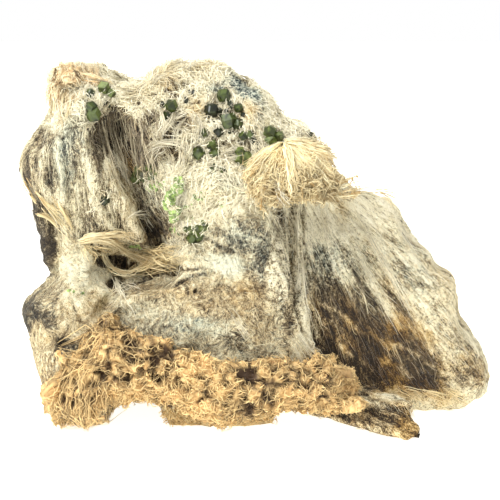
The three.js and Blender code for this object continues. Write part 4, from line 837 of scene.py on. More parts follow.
# %% Chrysotile fibre, silky and matted
fibre, tree, output = new_material("matted_chrysotile_fibre")
shade = add_node(tree, "ShaderNodeAttribute", {"attribute_name": "shade"})
uneven = add_node(tree, "ShaderNodeMapRange", None, {"Value": shade.outputs["Fac"], "To Min": -0.14, "To Max": 0.34})
tone = add_node(tree, "ShaderNodeMath", {"operation": "ADD"}, {0: start_tone(tree), 1: uneven.outputs[0]})
base = stained(tree, tone.outputs[0])
shader = add_node(tree, "ShaderNodeBsdfPrincipled", None, {
    "Base Color": base, "Roughness": 0.55, "IOR": 1.55, "Sheen Weight": 0.2, "Sheen Roughness": 0.4})
tree.links.new(shader.outputs[0], output.inputs["Surface"])

# %% Grow the coats of the rock
COATS = {
    "crown_felt": {"Where": "felt_hair", "Per m2": 7.8e6, "Length": 1.9 * MM, "Thickness": 0.06 * MM, "Arch": 2.0 * MM,
                   "Tip lift": 0.5 * MM, "Stray": 1.0, "Bend": 2.0 * MM, "Bend size": 520.0, "Own way": 1.6,
                   "Cling": 0.85, "Joints": 4, "Seed": 1},
    "crown_tufts": {"Where": "tuft_hair", "Per m2": 5.0e6, "Length": 4.6 * MM, "Thickness": 0.07 * MM, "Arch": 2.6 * MM,
                    "Tip lift": 1.0 * MM, "Stray": 0.5, "Bend": 2.6 * MM, "Bend size": 260.0, "Own way": 0.9,
                    "Cling": 0.8, "Joints": 6, "Seed": 5},
    "garnet_whiskers": {"Where": "ring_hair", "Per m2": 4.6e6, "Length": 2.1 * MM, "Thickness": 0.065 * MM, "Arch": 5.0 * MM,
                        "Tip lift": 0.8 * MM, "Stray": 1.3, "Bend": 1.8 * MM, "Bend size": 420.0, "Own way": 1.6,
                        "Cling": 0.9, "Joints": 4, "Seed": 6},
    "slab_fibres": {"Where": "slab_hair", "Per m2": 0.7e6, "Length": 3.4 * MM, "Thickness": 0.045 * MM, "Arch": 0.5 * MM,
                    "Tip lift": 0.15 * MM, "Stray": 0.25, "Bend": 1.6 * MM, "Bend size": 300.0, "Own way": 0.9,
                    "Cling": 0.97, "Joints": 5, "Seed": 2},
    "lobe_fibres": {"Where": "skin_hair", "Per m2": 0.5e6, "Length": 1.6 * MM, "Thickness": 0.04 * MM, "Arch": 0.3 * MM,
                    "Tip lift": 0.1 * MM, "Stray": 0.9, "Bend": 1.5 * MM, "Bend size": 350.0, "Own way": 1.0,
                    "Cling": 1.0, "Joints": 4, "Seed": 3},
    "skyline_fibres": {"Where": "skyline_hair", "Per m2": 1.3e6, "Length": 2.6 * MM, "Thickness": 0.05 * MM, "Arch": 1.0 * MM,
                       "Tip lift": 2.6 * MM, "Stray": 0.9, "Bend": 2.4 * MM, "Bend size": 420.0, "Own way": 1.6,
                       "Cling": 0.8, "Joints": 5, "Seed": 8},
    "back_fibres": {"Where": "back_hair", "Per m2": 0.3e6, "Length": 3.6 * MM, "Thickness": 0.07 * MM, "Arch": 0.6 * MM,
                    "Tip lift": 0.3 * MM, "Stray": 0.5, "Bend": 1.6 * MM, "Bend size": 300.0, "Own way": 0.8,
                    "Cling": 0.95, "Joints": 4, "Seed": 4},
}
rock_pieces = [rock] + [grow(name, rock, Material=fibre, **sizes) for name, sizes in COATS.items()]

# %% [markdown]
# ## Bundles that follow a path
#
# Straws, bands and the golden fan aren't a coat: their fibres run together from one place to
# another. Here a few guide lines are drawn, and a second tree copies each guide many times, spreads
# the copies, trims them to uneven lengths and bends them with noise.

# %% The tree that spins a bundle


def bundle_tree():
    """Turns guide curves into many fibres that follow them."""
    tree = bpy.data.node_groups.new("bundle_of_fibres", "GeometryNodeTree")
    face = tree.interface
    face.new_socket("Geometry", in_out="OUTPUT", socket_type="NodeSocketGeometry")
    face.new_socket("Geometry", in_out="INPUT", socket_type="NodeSocketGeometry")
    face.new_socket("Fibres", in_out="INPUT", socket_type="NodeSocketInt")
    for name in ("Spread", "Splay", "Thickness", "Bend", "Bend size", "Own way", "Trim"):
        face.new_socket(name, in_out="INPUT", socket_type="NodeSocketFloat")
    face.new_socket("Seed", in_out="INPUT", socket_type="NodeSocketInt")
    face.new_socket("Material", in_out="INPUT", socket_type="NodeSocketMaterial")
    given = add_node(tree, "NodeGroupInput").outputs
    copies = add_node(tree, "GeometryNodeDuplicateElements", {"domain": "SPLINE"}, {
        "Geometry": given["Geometry"], "Amount": given["Fibres"]})
    chance = add_node(tree, "FunctionNodeRandomValue", {"data_type": "FLOAT"}, {"Seed": given["Seed"]})
    shaded = add_node(tree, "GeometryNodeStoreNamedAttribute", {"data_type": "FLOAT", "domain": "CURVE"}, {
        "Geometry": copies.outputs[0], "Name": "shade", "Value": chance.outputs[1]})
    aside = add_node(tree, "FunctionNodeRandomValue", {"data_type": "FLOAT_VECTOR"}, {
        0: (-1.0, -1.0, -1.0), 1: (1.0, 1.0, 1.0), "Seed": 5})
    placed = add_node(tree, "GeometryNodeStoreNamedAttribute", {"data_type": "FLOAT_VECTOR", "domain": "CURVE"}, {
        "Geometry": shaded.outputs[0], "Name": "aside", "Value": aside.outputs[0]})
    early = add_node(tree, "FunctionNodeRandomValue", {"data_type": "FLOAT"}, {2: 0.0, 3: given["Trim"], "Seed": 8})
    late = add_node(tree, "FunctionNodeRandomValue", {"data_type": "FLOAT"}, {2: 0.0, 3: given["Trim"], "Seed": 9})
    end = add_node(tree, "ShaderNodeMath", {"operation": "SUBTRACT"}, {0: 1.0, 1: late.outputs[1]})
    trimmed = add_node(tree, "GeometryNodeTrimCurve", {"mode": "FACTOR"}, {
        "Curve": placed.outputs[0], 2: early.outputs[1], 3: end.outputs[0]})
    along = add_node(tree, "GeometryNodeSplineParameter")
    place = add_node(tree, "GeometryNodeInputPosition")
    offset = add_node(tree, "GeometryNodeInputNamedAttribute", {"data_type": "FLOAT_VECTOR"}, {"Name": "aside"})
    shade = add_node(tree, "GeometryNodeInputNamedAttribute", {"data_type": "FLOAT"}, {"Name": "shade"})
    wider = add_node(tree, "ShaderNodeMath", {"operation": "MULTIPLY_ADD"}, {
        0: along.outputs["Factor"], 1: given["Splay"], 2: given["Spread"]})
    spread = add_node(tree, "ShaderNodeVectorMath", {"operation": "SCALE"}, {0: offset.outputs["Attribute"], "Scale": wider.outputs[0]})
    own = add_node(tree, "ShaderNodeMath", {"operation": "MULTIPLY"}, {0: shade.outputs["Attribute"], 1: given["Own way"]})
    ripple = add_node(tree, "ShaderNodeTexNoise", {"noise_dimensions": "4D"}, {
        "Vector": place.outputs[0], "W": own.outputs[0], "Scale": given["Bend size"], "Detail": 1.0})
    centred = add_node(tree, "ShaderNodeVectorMath", {"operation": "SUBTRACT"}, {0: ripple.outputs["Color"], 1: (0.5, 0.5, 0.5)})
    rise = add_node(tree, "ShaderNodeMath", {"operation": "MULTIPLY_ADD"}, {0: along.outputs["Factor"], 1: 0.8, 2: 0.2})
    reach = add_node(tree, "ShaderNodeMath", {"operation": "MULTIPLY"}, {0: rise.outputs[0], 1: given["Bend"]})
    bent = add_node(tree, "ShaderNodeVectorMath", {"operation": "SCALE"}, {0: centred.outputs[0], "Scale": reach.outputs[0]})
    shifted = add_node(tree, "ShaderNodeVectorMath", {"operation": "ADD"}, {0: spread.outputs[0], 1: bent.outputs[0]})
    laid = add_node(tree, "GeometryNodeSetPosition", None, {"Geometry": trimmed.outputs[0], "Offset": shifted.outputs[0]})
    marked = add_node(tree, "GeometryNodeStoreNamedAttribute", {"data_type": "FLOAT", "domain": "POINT"}, {
        "Geometry": laid.outputs[0], "Name": "along", "Value": along.outputs["Factor"]})
    square = add_node(tree, "ShaderNodeMath", {"operation": "POWER"}, {0: along.outputs["Factor"], 1: 3.0})
    taper = add_node(tree, "ShaderNodeMath", {"operation": "MULTIPLY_ADD"}, {0: square.outputs[0], 1: -0.6, 2: 1.0})
    stout = add_node(tree, "ShaderNodeMath", {"operation": "MULTIPLY_ADD"}, {0: shade.outputs["Attribute"], 1: 0.8, 2: 0.6})
    girth = add_node(tree, "ShaderNodeMath", {"operation": "MULTIPLY"}, {0: taper.outputs[0], 1: stout.outputs[0]})
    radius = add_node(tree, "ShaderNodeMath", {"operation": "MULTIPLY"}, {0: girth.outputs[0], 1: given["Thickness"]})
    ring = add_node(tree, "GeometryNodeCurvePrimitiveCircle", {"mode": "RADIUS"}, {"Resolution": 3, "Radius": 1.0})
    tubes = add_node(tree, "GeometryNodeCurveToMesh", None, {
        "Curve": marked.outputs[0], "Profile Curve": ring.outputs[0], "Scale": radius.outputs[0], "Fill Caps": True})
    whole = add_node(tree, "GeometryNodeRealizeInstances", None, {"Geometry": tubes.outputs[0]})
    finished = add_node(tree, "GeometryNodeSetMaterial", None, {"Geometry": whole.outputs[0], "Material": given["Material"]})
    add_node(tree, "NodeGroupOutput", None, {0: finished.outputs[0]})
    return tree


BUNDLE = bundle_tree()


def through(corners, count):
    """A smooth run of points through the given corners."""
    corners = np.array(corners, float)
    padded = np.vstack((2 * corners[0] - corners[1], corners, 2 * corners[-1] - corners[-2]))
    places = np.linspace(0, len(corners) - 1 - 1e-6, count)
    first = places.astype(int)
    t = (places - first)[:, None]
    a, b, c, d = (padded[first + i] for i in range(4))
    return 0.5 * (2 * b + (c - a) * t + (2 * a - 5 * b + 4 * c - d) * t ** 2 + (3 * b - a - 3 * c + d) * t ** 3)


def spin(name, guides, joints, **sizes):
    """Spins a bundle of fibres along guide lines, as a plain mesh. The guides are in mm."""
    data = bpy.data.curves.new(name, "CURVE")
    data.dimensions = "3D"
    for guide in guides:
        spline = data.splines.new("POLY")
        spline.points.add(joints - 1)
        run = through(guide, joints) * MM
        spline.points.foreach_set("co", np.hstack((run, np.ones((joints, 1)))).ravel())
    drawn = bpy.data.objects.new(name + "_guides", data)
    bpy.context.scene.collection.objects.link(drawn)
    modifier = drawn.modifiers.new("fibres", "NODES")
    modifier.node_group = BUNDLE
    for item in BUNDLE.interface.items_tree:
        if item.in_out == "INPUT" and item.name in sizes:
            modifier[item.identifier] = sizes[item.name]
    shaped = drawn.evaluated_get(bpy.context.evaluated_depsgraph_get())
    piece = bpy.data.objects.new(name, bpy.data.meshes.new_from_object(shaped))
    bpy.data.objects.remove(drawn)
    bpy.context.scene.collection.objects.link(piece)
    print(name, sum(len(face.vertices) - 2 for face in piece.data.polygons), "triangles")
    return piece


# %% [markdown]
# ## Finish of the loose fibre
#
# Clean chrysotile is cream with a silky edge. Iron turns it gold, then the colour of rust. Each
# fibre takes its own tone between two colours from the number it was given.

# %% Loose fibres in three tones


def fibre_material(name, light_hex, deep_hex, hollow_shade_hex, start=0.05, by_length=0.5, by_fibre=0.55):
    """Silky fibre. Its tone changes from root to tip, in part as painted shade deep in a coat, and from one fibre to
    the next. In hollows it turns dark: painted shade.
    """
    material, tree, output = new_material(name)
    shade = add_node(tree, "ShaderNodeAttribute", {"attribute_name": "shade"})
    along = add_node(tree, "ShaderNodeAttribute", {"attribute_name": "along"})
    lighter = add_node(tree, "ShaderNodeMath", {"operation": "MULTIPLY_ADD"}, {0: shade.outputs["Fac"], 1: by_fibre, 2: start})
    # Along each fibre the tone changes; in part this is painted shade where the fibres lie deep in their coat.
    share = add_node(tree, "ShaderNodeMath", {"operation": "MULTIPLY_ADD", "use_clamp": True}, {
        0: along.outputs["Fac"], 1: by_length, 2: lighter.outputs[0]})
    mixed = add_node(tree, "ShaderNodeMix", {"data_type": "RGBA"}, {
        0: share.outputs[0], 6: colour(deep_hex), 7: colour(light_hex)}).outputs[2]
    place = add_node(tree, "ShaderNodeTexCoord")
    cloudy = add_node(tree, "ShaderNodeTexNoise", None, {"Vector": place.outputs["Object"], "Scale": 300.0, "Detail": 3.0})
    dimmed = add_node(tree, "ShaderNodeMapRange", None, {
        "Value": cloudy.outputs["Fac"], "From Min": 0.32, "From Max": 0.68, "To Min": 0.72, "To Max": 1.08})
    mixed = add_node(tree, "ShaderNodeVectorMath", {"operation": "SCALE"}, {0: mixed, "Scale": dimmed.outputs[0]}).outputs[0]
    # Painted shade: in the hollows the colour turns to the dark hollow colour.
    hollow = add_node(tree, "ShaderNodeAttribute", {"attribute_name": "hollow"})
    mixed = add_node(tree, "ShaderNodeMix", {"data_type": "RGBA"}, {
        0: hollow.outputs["Fac"], 6: mixed, 7: colour(hollow_shade_hex)}).outputs[2]
    shader = add_node(tree, "ShaderNodeBsdfPrincipled", None, {
        "Base Color": mixed, "Roughness": 0.6, "IOR": 1.55, "Specular IOR Level": 0.3, "Sheen Weight": 0.05, "Sheen Roughness": 0.4})
    tree.links.new(shader.outputs[0], output.inputs["Surface"])
    return material


cream_fibre = fibre_material("cream_chrysotile_fibre", "#f6efd6", "#b5a67e", "#4a3d2a")
golden_fibre = fibre_material("golden_chrysotile_fibre", "#f8e6b4", "#b0863f", "#614826", 0.16, 0.35, 0.8)
fan_fibre = fibre_material("cream_to_gold_chrysotile_fibre", "#fff3c8", "#bf944a", "#6b5029", 0.55, -0.4, 0.75)
rust_fibre = fibre_material("iron_stained_chrysotile_fibre", "#fbdb9c", "#9a6a2f", "#3c2812", 0.16, 0.45, 0.7)
knob_fibre = fibre_material("lightly_stained_chrysotile_fibre", "#f8e8bd", "#b87d36", "#5b4526", 0.1, 0.4, 0.9)
recess_fibre = fibre_material("grey_brown_chrysotile_fibre", "#cfc3a2", "#6b5a44", "#3c3226", 0.0, 0.3, 0.8)

# %% [markdown]
# ## The rust-coloured mat
#
# Along the foot lies a mat of crumbly curls. Its solid gives the outline. A remeshed copy gets knots
# two to three millimetres across with hollows between them, painted dark as shade, and short curly
# fibres stand on it.

# %% The mat and its curls
mat = largest_part(remeshed(welded_copy("ochre_fibre_mat", "rust_coloured_mat"), 0.42 * MM, smoothing=4))
places, normals = points_of(mat)
mat_mm = places / MM - SHIFT
mat_px, mat_py = seen_at(places)
bumps = knobs(mat_mm + 0.6 * np.stack([cloud(mat_mm, 1.5, seed, 1) for seed in (46, 47, 48)], axis=1), 2.3, 41)
knots = 1.6 * bumps - 0.85 + 0.4 * cloud(mat_mm, 0.9, 42, 1) + 0.5 * cloud(mat_mm, 5.0, 40, 1)
dents = np.zeros(len(places))
MAT_HOLLOWS = [(127, 378, 4, 5, 0), (156, 378, 4, 9, -30), (100, 372, 3, 4, 0), (60, 392, 2.5, 7, 20),
               (226, 386, 4, 3, 0), (300, 388, 6, 2.4, 20), (318, 366, 3, 4, 0), (84, 350, 4, 3, 0),
               (196, 360, 3.5, 3, 0), (270, 362, 3.5, 3, 0), (168, 346, 3, 4, 0), (205, 398, 3.5, 3, 0)]
for at_x, at_y, across, up, turn in MAT_HOLLOWS:
    dents += spot(mat_px, mat_py, at_x, at_y, across, up, turn)
places[:, 0] += 0.19 * np.maximum(0, 52 - mat_px) * MM  # loose ends at the left stay short
mat_height = knots * 0.85 - 1.3 * dents - 0.7 * smooth(60, 130, mat_px) - 1.2 * smooth(110, 60, mat_px)
mat_height -= 0.5 * smooth(-0.2, -0.7, normals[:, 2]) + 0.6 * smooth(50, 36, mat_px)
mat_height += 1.1 * (knobs(mat_mm, 1.4, 39) - 0.5) * smooth(305, 325, mat_px)
move_points(mat, places + normals * (mat_height * smooth(0.0, 0.8, mat_mm[:, 2]) * MM)[:, None])
mat_lie = np.stack([cloud(mat_mm, 1.1, seed, 1) for seed in (43, 44, 45)], axis=1) * 1.6
mat_lie += normals * 0.35
straw_part = smooth(122, 88, mat_px)
straw_lie = np.stack((-0.35 + 0.3 * smooth(360, 400, mat_py), np.full(len(places), -0.15), -1.0 + 0.3 * smooth(395, 350, mat_py)), axis=1)
mat_lie = mat_lie * (1 - straw_part[:, None]) + (straw_lie + 0.5 * mat_lie) * straw_part[:, None]
in_front = np.maximum(smooth(0.35, -0.25, normals[:, 1]), smooth(-0.1, 0.3, normals[:, 0]) * smooth(300, 325, mat_px))
# The hollow mask below is painted shade in the gaps between the knots.
write_values(
    mat, hollow=smooth(0.3, -0.6, knots - dents) * smooth(46, 62, mat_px) * smooth(352, 336, mat_px), lie=turned_to(mat_lie),
    shade=np.clip(0.35 + 0.5 * cloud(mat_mm, 0.8, 49, 1), 0, 1), along=np.full(len(places), 0.3),
    curl_hair=smooth(0.4, 1.6, mat_mm[:, 2]) * (0.15 + 0.85 * in_front) * (1 - 0.5 * straw_part) * (1 - 0.4 * np.clip(dents, 0, 1)) * np.maximum(0.35 + 0.65 * smooth(-0.9, 0.0, knots - dents), smooth(325, 338, mat_px)),
    straw_hair=smooth(1.0, 3.0, mat_mm[:, 2]) * straw_part * np.maximum(in_front, smooth(-0.1, -0.6, normals[:, 0])))
mat.data.materials.append(rust_fibre)
mat_pieces = [mat]
for number, thickness, length in ((1, 0.085, 2.0), (2, 0.1, 1.5)):
    mat_pieces.append(grow(
        "mat_curls_%d" % number, mat, Material=rust_fibre, Where="curl_hair", Length=length * MM, Thickness=thickness * MM,
        Arch=3.0 * MM, Stray=0.5, Bend=2.4 * MM, Cling=0.7, Joints=6, Seed=50 + number,
        **{"Per m2": 2.4e6, "Tip lift": 0.35 * MM, "Bend size": 800.0, "Own way": 0.8}))
mat_pieces.append(grow(
    "mat_straws", mat, Material=rust_fibre, Where="straw_hair", Length=6.0 * MM, Thickness=0.08 * MM,
    Arch=2.0 * MM, Stray=0.3, Bend=3.0 * MM, Cling=0.85, Joints=7, Seed=53,
    **{"Per m2": 1.8e6, "Tip lift": 0.5 * MM, "Bend size": 210.0, "Own way": 0.35}))

mat_pieces.append(grow(
    "foot_curls", rock, Material=rust_fibre, Where="foot_hair", Length=1.9 * MM, Thickness=0.09 * MM, Arch=3.0 * MM, Stray=0.7,
    Bend=2.4 * MM, Cling=0.8, Joints=6, Seed=54, **{"Per m2": 3.3e6, "Tip lift": 0.5 * MM, "Bend size": 700.0, "Own way": 0.8}))

# %% [markdown]
# ## The golden fan on the shoulder
#
# A bundle of fibre comes out of the rock at one point and hangs down like a skirt, with a crease in
# its middle and a hem that curls under. Its guides repeat the line from the top to the hem that the
# solid follows.

# %% The fan
FAN_APEX = np.array((5.8, -5.0, 57.0)) + SHIFT
FAN_HEM = [(-1.8, -7.5, 52), (-0.6, -10.6, 48), (2.4, -12.4, 45.8), (5.8, -13, 47.2), (9.8, -13.2, 47.8),
           (13.6, -12.4, 47), (16.2, -11, 48.8), (15.2, -8, 53.2), (14.2, -6.8, 55.2), (12.2, -6, 56.2)]
FAN_GUIDES = 52
hem = through(FAN_HEM, FAN_GUIDES) + SHIFT


def fan_guide(end, number):
    """A line from the apex over the belly of the fan to its hem, which turns under."""
    run = []
    fold = 4.0 * math.exp(-((number - 15.5) / 2.2) ** 2) - 1.6 * math.exp(-((number - 20) / 1.8) ** 2)
    sway = 0.8 * math.sin(number * 1.7)
    for down in (0.04, 0.25, 0.5, 0.72, 0.88):
        belly = math.sin(math.pi * down ** 0.8)
        point = FAN_APEX + (end - FAN_APEX) * down
        wave = sway * math.sin(7.0 * down + number * 0.6)
        run.append(point + (wave * down, (fold - 3.4) * belly + 0.6 * fold * down - 0.4 * down, 1.2 * belly))
    curl = 1.1 * math.sin(number * 2.4)
    short = FAN_APEX + (end - FAN_APEX) * 0.93
    run.append(short + (curl, 0.2, 0.1))
    run.append(short + (0.4 * curl, 1.4, 1.1))
    run.append(short + (-0.6 * curl, 1.0, 1.9))
    return run


fan_pieces = [spin("golden_fan_fibres", [fan_guide(end, i) for i, end in enumerate(hem)], 11, Fibres=36, Material=fan_fibre,
                   Spread=0.5 * MM, Splay=0.4 * MM, Thickness=0.09 * MM, Bend=4.6 * MM, Trim=0.5, Seed=61,
                   **{"Bend size": 480.0, "Own way": 2.2})]
FAN_WISPS = [
    [(13, -12, 49.8), (16.4, -12, 50), (20, -11.6, 51.4)], [(13, -12.4, 48), (16.6, -12, 47.8), (21, -11, 48.4)],
    [(11, -10, 53.2), (13.6, -9.2, 52.6), (16.4, -9.2, 51.6)], [(12, -12.4, 47.6), (14.4, -12.4, 46.6), (15, -12, 45)],
]
FAN_LIP = [[(5.4, -5.4, 57.2), (4.6, -9.8, 54.4), (4.4, -12.8, 51), (4.6, -14.6, 48), (5.6, -15, 46.4)],
           [(5.5, -5.4, 57.2), (4.9, -10, 54.6), (4.8, -13.4, 51), (5.4, -15, 48), (7.2, -15.2, 46.6)]]
fan_pieces.append(spin("fan_lip_fibres", [np.array(line) + SHIFT for line in FAN_LIP], 12, Fibres=34, Material=cream_fibre,
                       Spread=0.22 * MM, Splay=0.3 * MM, Thickness=0.09 * MM, Bend=1.6 * MM, Trim=0.3, Seed=66, **{"Bend size": 420.0, "Own way": 1.6}))
fan_pieces.append(spin("fan_wisps", [np.array(wisp) + SHIFT for wisp in FAN_WISPS], 10, Fibres=16, Material=fan_fibre,
                       Spread=0.35 * MM, Splay=0.7 * MM, Thickness=0.08 * MM, Bend=3.0 * MM, Trim=0.4, Seed=62, **{"Bend size": 250.0, "Own way": 1.2}))
fan_core = remeshed(welded_copy("shoulder_fibre_tuft", "golden_fan"), 0.45 * MM, smoothing=6)
places, normals = points_of(fan_core)
from_apex = places / MM - FAN_APEX
move_points(fan_core, places - normals * 0.35 * MM)
fan_reach = np.linalg.norm(from_apex, axis=1)
tangle = np.stack([cloud(from_apex, 1.4, seed, 1) for seed in (65, 66, 67)], axis=1)
at_hem = smooth(8.5, 12.0, fan_reach)
# Painted shade: the core darkens towards its hem, and its left panel, which lies lower and further back, is darker too.
write_values(fan_core, lie=turned_to(turned_to(from_apex) * (1 - 0.7 * at_hem[:, None]) + tangle * (0.3 + 1.2 * at_hem[:, None])),
             core_hair=smooth(0.5, -0.2, normals[:, 1]) * (1 - 0.6 * at_hem), hem_hair=smooth(0.6, 0.0, normals[:, 1]) * at_hem, along=np.clip(fan_reach / 14, 0, 1),
             shade=np.clip(0.1 + 0.4 * cloud(from_apex, 1.2, 63) - 0.5 * smooth(-0.6, -3.0, from_apex[:, 0]), 0, 1), hollow=0.35 * at_hem)
fan_core.data.materials.append(fan_fibre)
fan_pieces.append(fan_core)
fan_pieces.append(grow(
    "fan_curls", fan_core, Material=golden_fibre, Where="core_hair", Length=2.6 * MM, Thickness=0.095 * MM,
    Arch=5.0 * MM, Stray=0.45, Bend=3.0 * MM, Cling=0.75, Joints=7, Seed=64,
    **{"Per m2": 4.6e6, "Tip lift": 1.0 * MM, "Bend size": 500.0, "Own way": 1.6}))

fan_pieces.append(grow(
    "fan_hem_curls", fan_core, Material=golden_fibre, Where="hem_hair", Length=2.6 * MM, Thickness=0.12 * MM,
    Arch=7.5 * MM, Stray=0.9, Bend=4.6 * MM, Cling=0.75, Joints=8, Seed=67,
    **{"Per m2": 3.6e6, "Tip lift": 0.8 * MM, "Bend size": 620.0, "Own way": 1.2}))

# %% [markdown]
# ## Straws, bands and the tuft on the knob
#
# These loose fibres lie on the rock, so their guides are drawn on it: each guide is a row of places
# in the picture, and a ray from the eye finds the rock behind each place. A bundle may lift off the
# rock between its ends.

# %% A guide that lies on the rock
rock_hits = BVHTree.FromObject(rock, bpy.context.evaluated_depsgraph_get())
PIXELS = LENS_MM / SENSOR_MM * PICTURE


def on_rock(marks):
    """Turns marks in the picture, each with a lift in mm, into points on the rock in mm."""
    run = []
    depth = None
    for at_x, at_y, lift in marks:
        aside = Vector(((at_x - PICTURE / 2) / PIXELS, 0, 0)) + picture_up * ((PICTURE / 2 - at_y) / PIXELS)
        ray = (aside - towards_eye).normalized()
        hit = rock_hits.ray_cast(camera.location, ray)[0]
        if hit is not None:
            depth = (hit - camera.location).length
        if depth is None:
            depth = DISTANCE
        run.append((camera.location + ray * (depth - lift * MM)) / MM)
    return run


